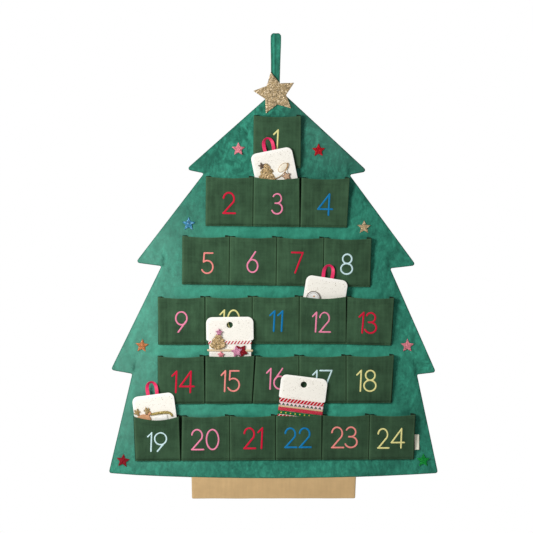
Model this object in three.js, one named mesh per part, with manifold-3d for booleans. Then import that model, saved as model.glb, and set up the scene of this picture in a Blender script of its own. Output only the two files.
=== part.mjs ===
// A hanging advent calendar: a padded velvet fir tree with 24 cloth pockets and five gift cards in them.
// Millimetres. X right, Y away from the viewer, Z up. The origin is where the loop bears on its hook.
import * as THREE from "three";
import { mergeVertices } from "three/addons/utils/BufferGeometryUtils.js";
import Module from "manifold-3d";

const wasm = await Module();
wasm.setup();

// Cloth thicknesses and clearances
const VELVET = 1.5;
const LINING = 1.0;
const POCKET_CLOTH = 0.9;
const CARD_BOARD = 0.8;
const GLITTER_FELT = 1.5;
const STAR_FELT = 2.5;
const GAP = 0.3;

// Pockets, row by row from the top
const PITCH = 80;
const POCKET_WIDTH = PITCH - 2 * GAP;
const ROW_X = 2;
const POCKET_MOUTH_DEPTH = 11;
const POCKET_BOTTOM_DEPTH = 4.5;
const GIFT_MOUTH_DEPTH = 15;
const GIFT_BOTTOM_DEPTH = 6;
const POCKET_CORNER_RADIUS = 3.5;
const POCKET_BULGE = 1.5;
const POCKET_LEVELS = [0, 0.3, 0.65, 1];
const MOUTH_SAG = 2.5;
const ROWS = [
  { first: 1, count: 1, top: -140.8, height: 85.1, turn: 0 },
  { first: 2, count: 3, top: -244.8, height: 84.3, turn: -0.2 },
  { first: 5, count: 4, top: -346.6, height: 81.8, turn: -0.2 },
  { first: 9, count: 5, top: -448.3, height: 80.4, turn: -0.2 },
  { first: 14, count: 5, top: -548.8, height: 79, turn: 0.65 },
  { first: 19, count: 6, top: -649.4, height: 74.8, turn: 1.0 },
];
const DEEP_SAGS = { 3: 4, 12: 4, 19: 7, 22: 4 };

// Tree outline, right half: each corner stands out by a margin from a row of so many pockets
const APEX_Z = -91;
const TIER_TIPS = [
  { pockets: 3, margin: 35, z: -231.5 },
  { pockets: 5, margin: 39, z: -390.5 },
  { pockets: 6, margin: 37, z: -572 },
];
const TIER_NOTCHES = [
  { pockets: 3, margin: 4, z: -237.5 },
  { pockets: 5, margin: -5.4, z: -396 },
  { pockets: 6, margin: 2, z: -576 },
];
const BOTTOM_MARGIN = 39.5;
const BOTTOM_HALF_WIDTH = halfRow(6) + BOTTOM_MARGIN;
const BOTTOM_CORNER_Z = -746.5;
const BOTTOM_SAG = 8.5;
const TIP_RADIUS = 4;
const NOTCH_RADIUS = 2;
const BOTTOM_CORNER_RADIUS = 8;
const CORNER_STEPS = 4;
const BOTTOM_STEPS = 12;

// Padding
const FRONT_Y = -4.0;
const BACK_Y = 3.5;
const LINING_INSET = 1.0;
const RIM_TUCK = 1.0;

// Rolled rim of the padding: how far in from the edge, and how far the velvet has fallen back there
const RIM_PROFILE = [
  { inset: 13, fall: 0 },
  { inset: 6.5, fall: 0.3 },
  { inset: 3, fall: 0.9 },
  { inset: 0.9, fall: 2.2 },
  { inset: 0, fall: 4.3 },
];

// Hanging loop: a flat velvet strap folded over the hook
const LOOP_X = -3.8;
const LOOP_THICKNESS = 2.0;
const LOOP_BEND_RADIUS = 3.4;
const LOOP_WIDTH = 17.8;
const LOOP_CREST_WIDTH = 11;
const LOOP_TAIL_WIDTH = 14;
const LOOP_SHOULDER_Z = -14;
const LOOP_JOIN_Z = -84;
const LOOP_JOIN_LENGTH = 8;
const LOOP_TAIL_Z = -118;
const LOOP_EDGE = 0.6;
const LOOP_BEND_STEPS = 6;
const LOOP_Y = BACK_Y - LOOP_BEND_RADIUS - LOOP_THICKNESS;

// Trunk: a cloth flap hinged at the bottom seam
const TRUNK_HALF_WIDTH = 139.5;
const TRUNK_BOTTOM_HALF_WIDTH = 138;
const TRUNK_DROP = 35;
const TRUNK_THICKNESS = 3;
const TRUNK_GAP = 0.6;
const TRUNK_STATIONS = 14;

// Glitter stars
const TOP_STAR = { x: -4.4, z: -101, radius: 36, inner: 19, turn: 10.3 };
const STAR_RADIUS = 11.3;
const STAR_INNER = 5.4;
const LAST_ROW_END = { pockets: 6, margin: 0, z: BOTTOM_CORNER_Z };
const [UPPER_TIP, MIDDLE_TIP, LOWER_TIP] = TIER_TIPS;

// Small stars: the corner each belongs to, its side, and how far in (below zero, out) and up from there it sits
const SMALL_STARS = [
  { name: "star_pink_upper", corner: UPPER_TIP, side: -1, in: 89, up: 35.5, turn: 0, colour: 0xe0838f },
  { name: "star_red", corner: UPPER_TIP, side: 1, in: 84, up: 33.5, turn: 1, colour: 0xb5182c },
  { name: "star_blue", corner: MIDDLE_TIP, side: -1, in: 90, up: 68, turn: 0, colour: 0x2a86b8 },
  { name: "star_gold", corner: MIDDLE_TIP, side: 1, in: 90, up: 62.5, turn: 0, colour: 0xc0a060 },
  { name: "star_copper", corner: LOWER_TIP, side: -1, in: 52, up: 42, turn: -4, colour: 0xc87838 },
  { name: "star_pink_lower", corner: LOWER_TIP, side: 1, in: 51.4, up: 42, turn: 0, colour: 0xe0838f },
  { name: "star_dark_red", corner: LAST_ROW_END, side: -1, in: -14.5, up: 20.5, turn: -6, colour: 0x9c1024 },
  { name: "star_green", corner: LAST_ROW_END, side: 1, in: -15, up: 23, turn: 0, colour: 0x0c7a30 },
];

// Folded label in the side seam of the last pocket
const LABEL = { height: 26, length: 7.5, drop: 47, ply: 0.6, gap: 0.6 };

// Gift cards
const CARD_SIDE_ROOM = 3.3;
const CARD_WIDTH = POCKET_WIDTH - 2 * (POCKET_CLOTH + CARD_SIDE_ROOM);
const CARD_FLARE = 9;
const CARD_LEAN = 5.5;
const CARD_MOUTH_STAND = 9;
const CARD_CORNER = 10;
const CARD_HOLE_RADIUS = 4.8;
const CARD_HOLE_DROP = 13;
const CARD_HEADER = 40;
const CARD_SMALL_CORNER = 2;

// Cards by pocket: middle of the top edge from the middle of the mouth, tilt to the left, and size
const CARDS = {
  3: { shift: -11.5, rise: 46.8, tilt: 12, width: CARD_WIDTH, height: 80, flare: 0 },
  12: { shift: 7.3, rise: 35.6, tilt: -8.5, width: CARD_WIDTH, height: 80, flare: 0 },
  15: { shift: 0.5, rise: 68.7, tilt: 1.3, width: CARD_WIDTH, height: 106, flare: CARD_FLARE },
  19: { shift: -7.9, rise: 38.9, tilt: 8, width: CARD_WIDTH, height: 86, flare: 0 },
  22: { shift: 9.3, rise: 67.7, tilt: -6.5, width: CARD_WIDTH - 1, height: 104, flare: CARD_FLARE },
};

// Ribbon loop on a card
const RIBBON = { height: 22, width: 21, strand: 6, ply: 0.8, crestPly: 2, crestDepth: 3.6, swell: 0.35 };
const RIBBON_LEAN_BACK = 5;
const RIBBON_STEPS = 14;
const RIBBON_SHIFT = { 3: -2 };

// Hair ties wound round a card: drop below the card's top edge, band height and thickness
const TIES = {
  15: [
    { name: "stripe_tie", drop: 43.6, band: 5.2, thick: 1.2, colour: 0xd86070 },
    { name: "star_tie", drop: 56, band: 4, thick: 2, colour: 0xc8a888 },
  ],
  22: [
    { name: "stripe_tie", drop: 44.2, band: 6.4, thick: 1.2, colour: 0xd04050 },
    { name: "tree_tie", drop: 51, band: 6, thick: 1.2, colour: 0xe8b8b8 },
    { name: "knit_tie", drop: 60, band: 6, thick: 1.2, colour: 0xb82030 },
    { name: "dot_tie", drop: 66.3, band: 5.4, thick: 1.2, colour: 0x1c6040 },
  ],
};

// Clips and charms on the cards: the middle of each (a fir's foot) in its card's frame, its size and its turn
const TRIM_THICKNESS = 2;
const TRIM_STEP = 0.8;
const FIR_CLIP_03 = { x: -18, z: -46.5, width: 26, height: 28, turn: -6 };
const FIR_CLIP_STAR_03 = { x: -20.5, z: -21.5, radius: 5.4, inner: 2.4, turn: 0 };
const BAR_CLIP_03 = { x: 8.5, z: -38.5, left: -15, right: 18, half: 5, corner: 3, turn: 2 };
const BOW_03 = { x: 19.5, z: -36, half: 5, long: 8.5, corner: 4, turn: -28 };
const BAR_CLIP_STAR_03 = { x: 20.5, z: -48.5, radius: 6.5, inner: 3.4, turn: 8 };
const DISC_CLIP_12 = { x: -18.8, z: -37.4, radius: 12.2, thick: 2.5 };
const HEAD_CLIP_19 = { x: -18, z: -37.5, half: 8, tall: 9, thick: 3 };
const ANTLER_19 = { in: 4, up: 6, turn: 23, lean: 5 };
const BOW_CLIP_19 = { x: 12, z: -33.5 };
const FIR_CLIP_15 = { x: -18.5, z: -38, width: 25.7, height: 22.5, turn: 0 };
const FIR_CLIP_STAR_15 = { x: -18.5, z: -18.5, radius: 6.6, inner: 3.2, turn: 0 };
const LARGE_CHARM_15 = { x: 17, z: -55, radius: 10.4, inner: 5.6, turn: 8 };
const SMALL_CHARM_15 = { x: -14, z: -59, radius: 5.9, inner: 3, turn: 0 };

// Small shared shapes

// Vector in the tree's plane: x to the right, y up
function point(x, y) {
  return new THREE.Vector2(x, y);
}

// Where two lines meet, each given by a point and a direction
function meeting(a, alongA, b, alongB) {
  const cross = alongA.x * alongB.y - alongA.y * alongB.x;
  const reach = ((b.x - a.x) * alongB.y - (b.y - a.y) * alongB.x) / cross;
  return a.clone().addScaledVector(alongA, reach);
}

// A counter-clockwise polygon moved inwards by inset, its corners rounded, always with the same count of points
function roundedRing(corners, inset) {
  const count = corners.length;
  const sides = corners.map((corner, i) => {
    const along = corners[(i + 1) % count].at.clone().sub(corner.at).normalize();
    const inward = point(-along.y, along.x);
    return { start: corner.at.clone().addScaledVector(inward, inset), along };
  });
  const ring = [];
  corners.forEach((corner, i) => {
    const before = sides[(i + count - 1) % count];
    const after = sides[i];
    const turn = before.along.x * after.along.y - before.along.y * after.along.x;
    if (corner.steps === 0) {
      const level = before.along.clone().add(after.along).normalize();
      ring.push(corner.at.clone().addScaledVector(point(-level.y, level.x), inset));
      return;
    }
    const tip = meeting(before.start, before.along, after.start, after.along);
    const radius = Math.max(corner.radius - Math.sign(turn) * inset, 0.2);
    const angle = Math.acos(THREE.MathUtils.clamp(before.along.dot(after.along), -1, 1));
    const reach = radius * Math.tan(angle / 2);
    const centre = tip.clone().addScaledVector(before.along, -reach);
    centre.addScaledVector(point(-before.along.y, before.along.x), radius * Math.sign(turn));
    const from = Math.atan2(before.along.y, before.along.x) - (Math.PI / 2) * Math.sign(turn);
    for (let k = 0; k <= corner.steps; k += 1) {
      const a = from + (angle * Math.sign(turn) * k) / corner.steps;
      ring.push(point(centre.x + radius * Math.cos(a), centre.y + radius * Math.sin(a)));
    }
  });
  return ring;
}

function geometryOf(vertices, triangles) {
  const geometry = new THREE.BufferGeometry();
  const flat = vertices.flatMap((v) => [v.x, v.y, v.z]);
  geometry.setAttribute("position", new THREE.Float32BufferAttribute(flat, 3));
  geometry.setIndex(triangles.flat());
  return geometry;
}

// Six times the volume enclosed by triangles that face outwards, and negative where they face inwards
function signedVolume(vertices, triangles) {
  return triangles.reduce((sum, [a, b, c]) => sum + vertices[a].dot(vertices[b].clone().cross(vertices[c])), 0);
}

// Triangles over an outline, turned the way that its points run
function filled(outline) {
  const anticlockwise = THREE.ShapeUtils.area(outline) > 0;
  const triangles = THREE.ShapeUtils.triangulateShape(outline, []);
  return triangles.map(([a, b, c]) => (anticlockwise ? [a, b, c] : [a, c, b]));
}

// A closed body from rings of equal count, joined in order, its ends filled over outlines given in the plane
function loft(rings, startOutline, endOutline) {
  const count = rings[0].length;
  const vertices = rings.flat();
  const triangles = [];
  for (let r = 0; r + 1 < rings.length; r += 1) {
    for (let i = 0; i < count; i += 1) {
      const a = r * count + i;
      const b = r * count + ((i + 1) % count);
      triangles.push([a, b, b + count], [a, b + count, a + count]);
    }
  }
  const last = (rings.length - 1) * count;
  filled(startOutline).forEach(([a, b, c]) => triangles.push([a, c, b]));
  filled(endOutline).forEach(([a, b, c]) => triangles.push([a + last, b + last, c + last]));
  if (signedVolume(vertices, triangles) < 0) {
    triangles.forEach((t) => t.reverse());
  }
  return geometryOf(vertices, triangles);
}

// A body of level rings in the tree's plane, each ring inset and set at its own depth, front to back
function layeredBody(corners, levels) {
  const outlines = levels.map((level) => roundedRing(corners, level.inset));
  const rings = outlines.map((outline, n) => outline.map((p) => new THREE.Vector3(p.x, levels[n].y, p.y)));
  return loft(rings, outlines[0], outlines[outlines.length - 1]);
}

// A flat piece in the tree's plane: its back at local y 0 and its front at y -thickness
function plate(shape, thickness, curveSegments = 6) {
  const geometry = new THREE.ExtrudeGeometry(shape, { depth: thickness, bevelEnabled: false, curveSegments });
  return geometry.rotateX(Math.PI / 2);
}

function box(width, depth, height, x, y, z) {
  return new THREE.BoxGeometry(width, depth, height).translate(x, y, z);
}

function starShape(radius, inner, turn = 0) {
  const shape = new THREE.Shape();
  for (let k = 0; k < 10; k += 1) {
    const reach = k % 2 === 0 ? radius : inner;
    const angle = Math.PI / 2 + THREE.MathUtils.degToRad(turn) + (k * Math.PI) / 5;
    const corner = [reach * Math.cos(angle), reach * Math.sin(angle)];
    if (k === 0) {
      shape.moveTo(...corner);
    } else {
      shape.lineTo(...corner);
    }
  }
  shape.closePath();
  return shape;
}

function roundedRectangle(left, right, bottom, top, radius) {
  const shape = new THREE.Shape();
  shape.moveTo(left + radius, bottom);
  shape.lineTo(right - radius, bottom);
  shape.absarc(right - radius, bottom + radius, radius, -Math.PI / 2, 0, false);
  shape.lineTo(right, top - radius);
  shape.absarc(right - radius, top - radius, radius, 0, Math.PI / 2, false);
  shape.lineTo(left + radius, top);
  shape.absarc(left + radius, top - radius, radius, Math.PI / 2, Math.PI, false);
  shape.lineTo(left, bottom + radius);
  shape.absarc(left + radius, bottom + radius, radius, Math.PI, 1.5 * Math.PI, false);
  return shape;
}

function manifoldOf(geometry) {
  const bare = geometry.clone();
  bare.deleteAttribute("normal");
  bare.deleteAttribute("uv");
  const merged = mergeVertices(bare, 1e-4);
  const vertProperties = new Float32Array(merged.attributes.position.array);
  const triVerts = new Uint32Array(merged.index.array);
  return new wasm.Manifold(new wasm.Mesh({ numProp: 3, vertProperties, triVerts }));
}

function geometryFrom(manifold) {
  const mesh = manifold.getMesh();
  const geometry = new THREE.BufferGeometry();
  geometry.setAttribute("position", new THREE.BufferAttribute(new Float32Array(mesh.vertProperties), 3));
  geometry.setIndex(new THREE.BufferAttribute(new Uint32Array(mesh.triVerts), 1));
  return geometry;
}

function cut(geometry, ...tools) {
  const solid = tools.reduce((rest, tool) => rest.subtract(manifoldOf(tool)), manifoldOf(geometry));
  return geometryFrom(solid);
}

function joined(first, ...others) {
  return geometryFrom(others.reduce((whole, other) => whole.add(manifoldOf(other)), manifoldOf(first)));
}

function piece(name, geometry, colour, roughness, metalness = 0) {
  const material = new THREE.MeshStandardMaterial({ color: colour, roughness, metalness });
  const mesh = new THREE.Mesh(geometry, material);
  mesh.name = name;
  return mesh;
}

function at(mesh, x, y, z) {
  mesh.position.set(x, y, z);
  return mesh;
}

function twoDigits(number) {
  return String(number).padStart(2, "0");
}

// Half the width of a row of so many pockets
function halfRow(count) {
  return (count / 2) * PITCH;
}

function cornerX({ pockets, margin }) {
  return halfRow(pockets) + margin;
}

// Tree outline as corners, counter-clockwise seen from the front

const BOTTOM_ARC_RADIUS = (BOTTOM_HALF_WIDTH ** 2 + BOTTOM_SAG ** 2) / (2 * BOTTOM_SAG);

function bottomEdgeZ(x) {
  const centreZ = BOTTOM_CORNER_Z - BOTTOM_SAG + BOTTOM_ARC_RADIUS;
  return centreZ - Math.sqrt(BOTTOM_ARC_RADIUS ** 2 - x ** 2);
}

function treeCorners() {
  const corner = (x, z, radius) => ({ at: point(x, z), radius, steps: CORNER_STEPS });
  const right = [corner(BOTTOM_HALF_WIDTH, BOTTOM_CORNER_Z, BOTTOM_CORNER_RADIUS)];
  for (let tier = TIER_TIPS.length - 1; tier >= 0; tier -= 1) {
    right.push(corner(cornerX(TIER_NOTCHES[tier]), TIER_NOTCHES[tier].z, NOTCH_RADIUS));
    right.push(corner(cornerX(TIER_TIPS[tier]), TIER_TIPS[tier].z, TIP_RADIUS));
  }
  const left = right.map((c) => corner(-c.at.x, c.at.y, c.radius)).reverse();
  const bottom = [];
  for (let k = 1; k < BOTTOM_STEPS; k += 1) {
    const x = BOTTOM_HALF_WIDTH * ((2 * k) / BOTTOM_STEPS - 1);
    bottom.push({ at: point(x, bottomEdgeZ(x)), radius: 0, steps: 0 });
  }
  return [...bottom, ...right, corner(0, APEX_Z, TIP_RADIUS), ...left];
}

// Padded tree: velvet front with a rolled rim, wadding, lining panel

// Levels of the rolled rim, front to back, moved inwards by depth along the rim's own slope
function rimLevels(depth) {
  const last = RIM_PROFILE.length - 1;
  const levels = RIM_PROFILE.map(({ inset, fall }, n) => {
    const before = RIM_PROFILE[Math.max(n - 1, 0)];
    const after = RIM_PROFILE[Math.min(n + 1, last)];
    const slope = point(before.inset - after.inset, after.fall - before.fall).normalize();
    const normal = n === 0 ? point(0, 1) : point(slope.y, slope.x);
    return { inset: inset + depth * normal.x, y: FRONT_Y + fall + depth * normal.y };
  });
  return [...levels, { inset: RIM_TUCK + depth, y: BACK_Y - LINING - GAP }];
}

// Room for the loop's tails, from their ends up through the seam
function tailSlot(depth, y, clearance) {
  const height = LOOP_JOIN_Z - LOOP_TAIL_Z + clearance;
  return box(LOOP_TAIL_WIDTH + 2 * clearance, depth, height, LOOP_X, y, LOOP_TAIL_Z - clearance + height / 2);
}

function frontPanel(corners) {
  const tray = layeredBody(corners, [...rimLevels(0), ...rimLevels(VELVET).reverse()]);
  const inner = FRONT_Y + VELVET;
  const depth = BACK_Y - inner;
  return piece("front_panel", cut(tray, tailSlot(depth, inner + depth / 2, GAP)), 0x32806a, 0.9);
}

function wadding(corners) {
  const pad = layeredBody(corners, rimLevels(VELVET + GAP));
  const slot = tailSlot(BACK_Y - FRONT_Y, (FRONT_Y + BACK_Y) / 2, 2 * GAP);
  return piece("wadding", cut(pad, slot), 0xf0f0ec, 0.95);
}

function backPanel(corners) {
  const panel = layeredBody(corners, [
    { inset: LINING_INSET, y: BACK_Y - LINING },
    { inset: LINING_INSET, y: BACK_Y },
  ]);
  return piece("back_panel", panel, 0x2c5240, 0.9);
}

// Hanging loop: the strap's middle line, its width, and a section with bevelled edges swept along it

// One side of the loop from its tail up to its shoulder, with the strap's middle at tailY and then at shoulderY
function loopSide(tailY, shoulderY) {
  const spread = tailY + Math.sign(tailY) * GAP;
  return [
    { y: tailY, z: LOOP_TAIL_Z, width: LOOP_TAIL_WIDTH },
    { y: tailY, z: LOOP_JOIN_Z - LOOP_JOIN_LENGTH, width: LOOP_TAIL_WIDTH },
    { y: spread, z: LOOP_JOIN_Z, width: LOOP_TAIL_WIDTH + 2 * GAP },
    { y: (shoulderY + tailY) / 2, z: LOOP_JOIN_Z / 2, width: (LOOP_WIDTH + LOOP_TAIL_WIDTH) / 2 },
    { y: shoulderY, z: LOOP_SHOULDER_Z, width: LOOP_WIDTH },
  ];
}

function loopBend(reach) {
  const bend = [];
  for (let k = 0; k <= LOOP_BEND_STEPS; k += 1) {
    const angle = Math.PI - (Math.PI * k) / LOOP_BEND_STEPS;
    bend.push({
      y: LOOP_Y + reach * Math.cos(angle),
      z: -LOOP_BEND_RADIUS + reach * Math.sin(angle),
      width: LOOP_WIDTH - (LOOP_WIDTH - LOOP_CREST_WIDTH) * Math.sin(angle) ** 2,
    });
  }
  return bend;
}

function hangingLoop() {
  const half = LOOP_THICKNESS / 2;
  const tailY = GAP / 2 + half;
  const bend = LOOP_BEND_RADIUS + half;
  const front = loopSide(-tailY, LOOP_Y - bend);
  const back = loopSide(tailY, LOOP_Y + bend).reverse();
  const stations = [...front, ...loopBend(bend), ...back];
  const rings = stations.map((station, i) => {
    const before = stations[Math.max(i - 1, 0)];
    const after = stations[Math.min(i + 1, stations.length - 1)];
    const along = point(after.y - before.y, after.z - before.z).normalize();
    const out = point(-along.y, along.x);
    const reach = station.width / 2;
    const section = [
      [LOOP_EDGE - reach, half],
      [reach - LOOP_EDGE, half],
      [reach, half - LOOP_EDGE],
      [reach, LOOP_EDGE - half],
      [reach - LOOP_EDGE, -half],
      [LOOP_EDGE - reach, -half],
      [-reach, LOOP_EDGE - half],
      [-reach, half - LOOP_EDGE],
    ];
    return section.map(([x, t]) => new THREE.Vector3(x, station.y + out.x * t, station.z + out.y * t));
  });
  const outline = rings[0].map((v) => point(v.x, -v.y));
  const lastOutline = rings[rings.length - 1].map((v) => point(v.x, v.y));
  const strap = loft(rings, outline, lastOutline);
  return at(piece("hanging_loop", strap, 0x2f7f62, 0.9), LOOP_X, 0, 0);
}

// Trunk: stations along x, each a section with a rounded top edge that follows the bottom seam

function trunk() {
  const half = TRUNK_THICKNESS / 2;
  const hemZ = bottomEdgeZ(0) - TRUNK_DROP;
  const rings = [];
  for (let k = 0; k < TRUNK_STATIONS; k += 1) {
    const share = (2 * k) / (TRUNK_STATIONS - 1) - 1;
    const topX = TRUNK_HALF_WIDTH * share;
    const bottomX = TRUNK_BOTTOM_HALF_WIDTH * share;
    const topZ = bottomEdgeZ(topX) - TRUNK_GAP - half;
    const ring = [0, 45, 90, 135, 180].map((degrees) => {
      const angle = THREE.MathUtils.degToRad(degrees);
      return new THREE.Vector3(topX, -half * Math.cos(angle), topZ + half * Math.sin(angle));
    });
    ring.push(new THREE.Vector3(bottomX, half, hemZ));
    ring.push(new THREE.Vector3(bottomX, -half, hemZ));
    rings.push(ring);
  }
  const outline = rings[0].map((v) => point(-v.y, v.z));
  const lastOutline = rings[rings.length - 1].map((v) => point(v.y, v.z));
  return piece("trunk", loft(rings, outline, lastOutline), 0xc1a073, 0.9);
}

// Pocket: an open pouch against the velvet. Local x 0 is its middle, z 0 its mouth, y 0 its rear edge.

function pocketGeometry({ height, mouthDepth, bottomDepth, sag }) {
  const section = (share, shrink) => {
    const depth = mouthDepth + (bottomDepth - mouthDepth) * share - shrink;
    const half = POCKET_WIDTH / 2 - shrink;
    const corner = POCKET_CORNER_RADIUS - shrink;
    const points = [[-half, 0]];
    for (let k = 0; k <= 2; k += 1) {
      const angle = (Math.PI / 4) * k;
      const x = -half + corner - corner * Math.cos(angle);
      points.push([x, depth - corner + corner * Math.sin(angle)]);
    }
    for (const across of [-0.5, 0, 0.5]) {
      points.push([across * half, depth + POCKET_BULGE * (1 - across ** 2)]);
    }
    for (let k = 2; k >= 0; k -= 1) {
      const angle = (Math.PI / 4) * k;
      const x = half - corner + corner * Math.cos(angle);
      points.push([x, depth - corner + corner * Math.sin(angle)]);
    }
    points.push([half, 0]);
    return points.map(([x, d]) => {
      const droop = sag * (1 - share) * Math.cos((x / (POCKET_WIDTH / 2)) * (Math.PI / 2));
      const floor = share === 1 ? shrink : 0;
      return new THREE.Vector3(x, -d, -share * height - droop + floor);
    });
  };
  const outer = POCKET_LEVELS.map((share) => section(share, 0));
  const inner = POCKET_LEVELS.map((share) => section(share, POCKET_CLOTH));
  const across = outer[0].length;
  const vertices = [...outer.flat(), ...inner.flat()];
  const side = POCKET_LEVELS.length * across;
  const triangles = [];
  const quad = (a, b, c, d) => triangles.push([a, b, c], [a, c, d]);
  for (let j = 0; j + 1 < POCKET_LEVELS.length; j += 1) {
    for (let i = 0; i + 1 < across; i += 1) {
      const a = j * across + i;
      quad(a, a + across, a + across + 1, a + 1);
      quad(side + a, side + a + 1, side + a + across + 1, side + a + across);
    }
    const left = j * across;
    const right = left + across - 1;
    quad(left, side + left, side + left + across, left + across);
    quad(right, right + across, side + right + across, side + right);
  }
  for (let i = 0; i + 1 < across; i += 1) {
    quad(i, i + 1, side + i + 1, side + i);
  }
  const floorStart = (POCKET_LEVELS.length - 1) * across;
  const floorEnd = floorStart + across - 1;
  for (let i = 1; i + 1 < across; i += 1) {
    triangles.push([floorStart, floorStart + i + 1, floorStart + i]);
    triangles.push([side + floorStart, side + floorStart + i, side + floorStart + i + 1]);
  }
  quad(floorStart, side + floorStart, side + floorEnd, floorEnd);
  return geometryOf(vertices, triangles);
}

function pocketRow(row) {
  const group = new THREE.Group();
  group.position.set(ROW_X, FRONT_Y - GAP, row.top);
  group.rotation.y = -THREE.MathUtils.degToRad(row.turn);
  for (let k = 0; k < row.count; k += 1) {
    const number = row.first + k;
    const holdsCard = number in CARDS;
    const geometry = pocketGeometry({
      height: row.height,
      mouthDepth: holdsCard ? GIFT_MOUTH_DEPTH : POCKET_MOUTH_DEPTH,
      bottomDepth: holdsCard ? GIFT_BOTTOM_DEPTH : POCKET_BOTTOM_DEPTH,
      sag: DEEP_SAGS[number] ?? MOUTH_SAG,
    });
    const x = (k - (row.count - 1) / 2) * PITCH;
    group.add(at(piece(`pocket_${twoDigits(number)}`, geometry, 0x3c5840, 0.92), x, 0, 0));
  }
  if (row === ROWS[ROWS.length - 1]) {
    group.add(label(row));
  }
  return group;
}

// Stars and label

function topStar() {
  const star = plate(starShape(TOP_STAR.radius, TOP_STAR.inner, TOP_STAR.turn), STAR_FELT);
  return at(piece("top_star", star, 0xb89a68, 0.6, 0.3), TOP_STAR.x, FRONT_Y - GAP, TOP_STAR.z);
}

function smallStar({ name, corner, side, in: inwards, up, turn, colour }) {
  const star = plate(starShape(STAR_RADIUS, STAR_INNER, turn), GLITTER_FELT);
  const x = side * (cornerX(corner) - inwards);
  return at(piece(name, star, colour, 0.6, 0.3), x, FRONT_Y - GAP, corner.z + up);
}

// Label: a folded tape beside the last pocket of a row, its fold at the right, in the row's frame
function label(row) {
  const { height, length, drop, ply, gap } = LABEL;
  const outer = ply + gap / 2;
  const fold = length - outer;
  const shape = new THREE.Shape();
  shape.moveTo(0, -outer);
  shape.lineTo(fold, -outer);
  shape.absarc(fold, 0, outer, -Math.PI / 2, Math.PI / 2, false);
  shape.lineTo(0, outer);
  shape.lineTo(0, gap / 2);
  shape.lineTo(fold, gap / 2);
  shape.absarc(fold, 0, gap / 2, Math.PI / 2, -Math.PI / 2, true);
  shape.lineTo(0, -gap / 2);
  shape.closePath();
  const tape = new THREE.ExtrudeGeometry(shape, { depth: height, bevelEnabled: false, curveSegments: 6 });
  tape.translate(halfRow(row.count), -outer, -drop - height / 2);
  return piece("label_tab", tape, 0xefe6d2, 0.8);
}

// Gift cards and what is on them. Local frame: origin at the middle of the top edge, x along it, z up the card.

function rowOf(number) {
  return ROWS.find((row) => number >= row.first && number < row.first + row.count);
}

function mouthMiddle(number) {
  const row = rowOf(number);
  const across = (number - row.first - (row.count - 1) / 2) * PITCH;
  const turn = THREE.MathUtils.degToRad(row.turn);
  return point(ROW_X + across * Math.cos(turn), row.top + across * Math.sin(turn));
}

function cardFrame(number) {
  const { shift, rise, tilt } = CARDS[number];
  const mouth = mouthMiddle(number);
  const lean = THREE.MathUtils.degToRad(CARD_LEAN);
  const mouthY = FRONT_Y - GAP - CARD_MOUTH_STAND;
  const group = new THREE.Group();
  group.position.set(mouth.x + shift, mouthY - rise * Math.tan(lean), mouth.y + rise);
  group.rotation.set(lean, -THREE.MathUtils.degToRad(tilt), 0);
  return group;
}

function cardShape({ width, height, flare }) {
  if (flare === 0) {
    return roundedRectangle(-width / 2, width / 2, -height, 0, CARD_CORNER);
  }
  const shape = new THREE.Shape();
  const half = width / 2;
  const wide = (width + flare) / 2;
  const small = CARD_SMALL_CORNER;
  shape.moveTo(-half + small, -height);
  shape.lineTo(half - small, -height);
  shape.lineTo(half, -height + small);
  shape.lineTo(half, -CARD_HEADER);
  shape.lineTo(wide - small, -CARD_HEADER);
  shape.lineTo(wide, -CARD_HEADER + small);
  shape.lineTo(wide, -CARD_CORNER);
  shape.absarc(wide - CARD_CORNER, -CARD_CORNER, CARD_CORNER, 0, Math.PI / 2, false);
  shape.lineTo(-wide + CARD_CORNER, 0);
  shape.absarc(-wide + CARD_CORNER, -CARD_CORNER, CARD_CORNER, Math.PI / 2, Math.PI, false);
  shape.lineTo(-wide, -CARD_HEADER + small);
  shape.lineTo(-wide + small, -CARD_HEADER);
  shape.lineTo(-half, -CARD_HEADER);
  shape.lineTo(-half, -height + small);
  shape.closePath();
  const hole = new THREE.Path();
  hole.absarc(0, -CARD_HOLE_DROP, CARD_HOLE_RADIUS, 0, 2 * Math.PI, true);
  shape.holes.push(hole);
  return shape;
}

function giftCard(number) {
  const board = plate(cardShape(CARDS[number]), CARD_BOARD).translate(0, CARD_BOARD / 2, 0);
  return piece(`gift_card_${twoDigits(number)}`, board, 0xf3eee6, 0.75);
}

// Ribbon loop: an arch of flat ribbon that lies flat at its feet and turns edge-on at its crest

function ribbonMiddle(angle) {
  const { height, width, strand, crestPly, swell } = RIBBON;
  const rise = Math.max(Math.sin(angle), 0);
  const reach = ((width - strand) / 2) * (1 + swell * rise);
  return point(-reach * Math.cos(angle), (height - crestPly / 2) * rise ** 0.8);
}

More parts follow.
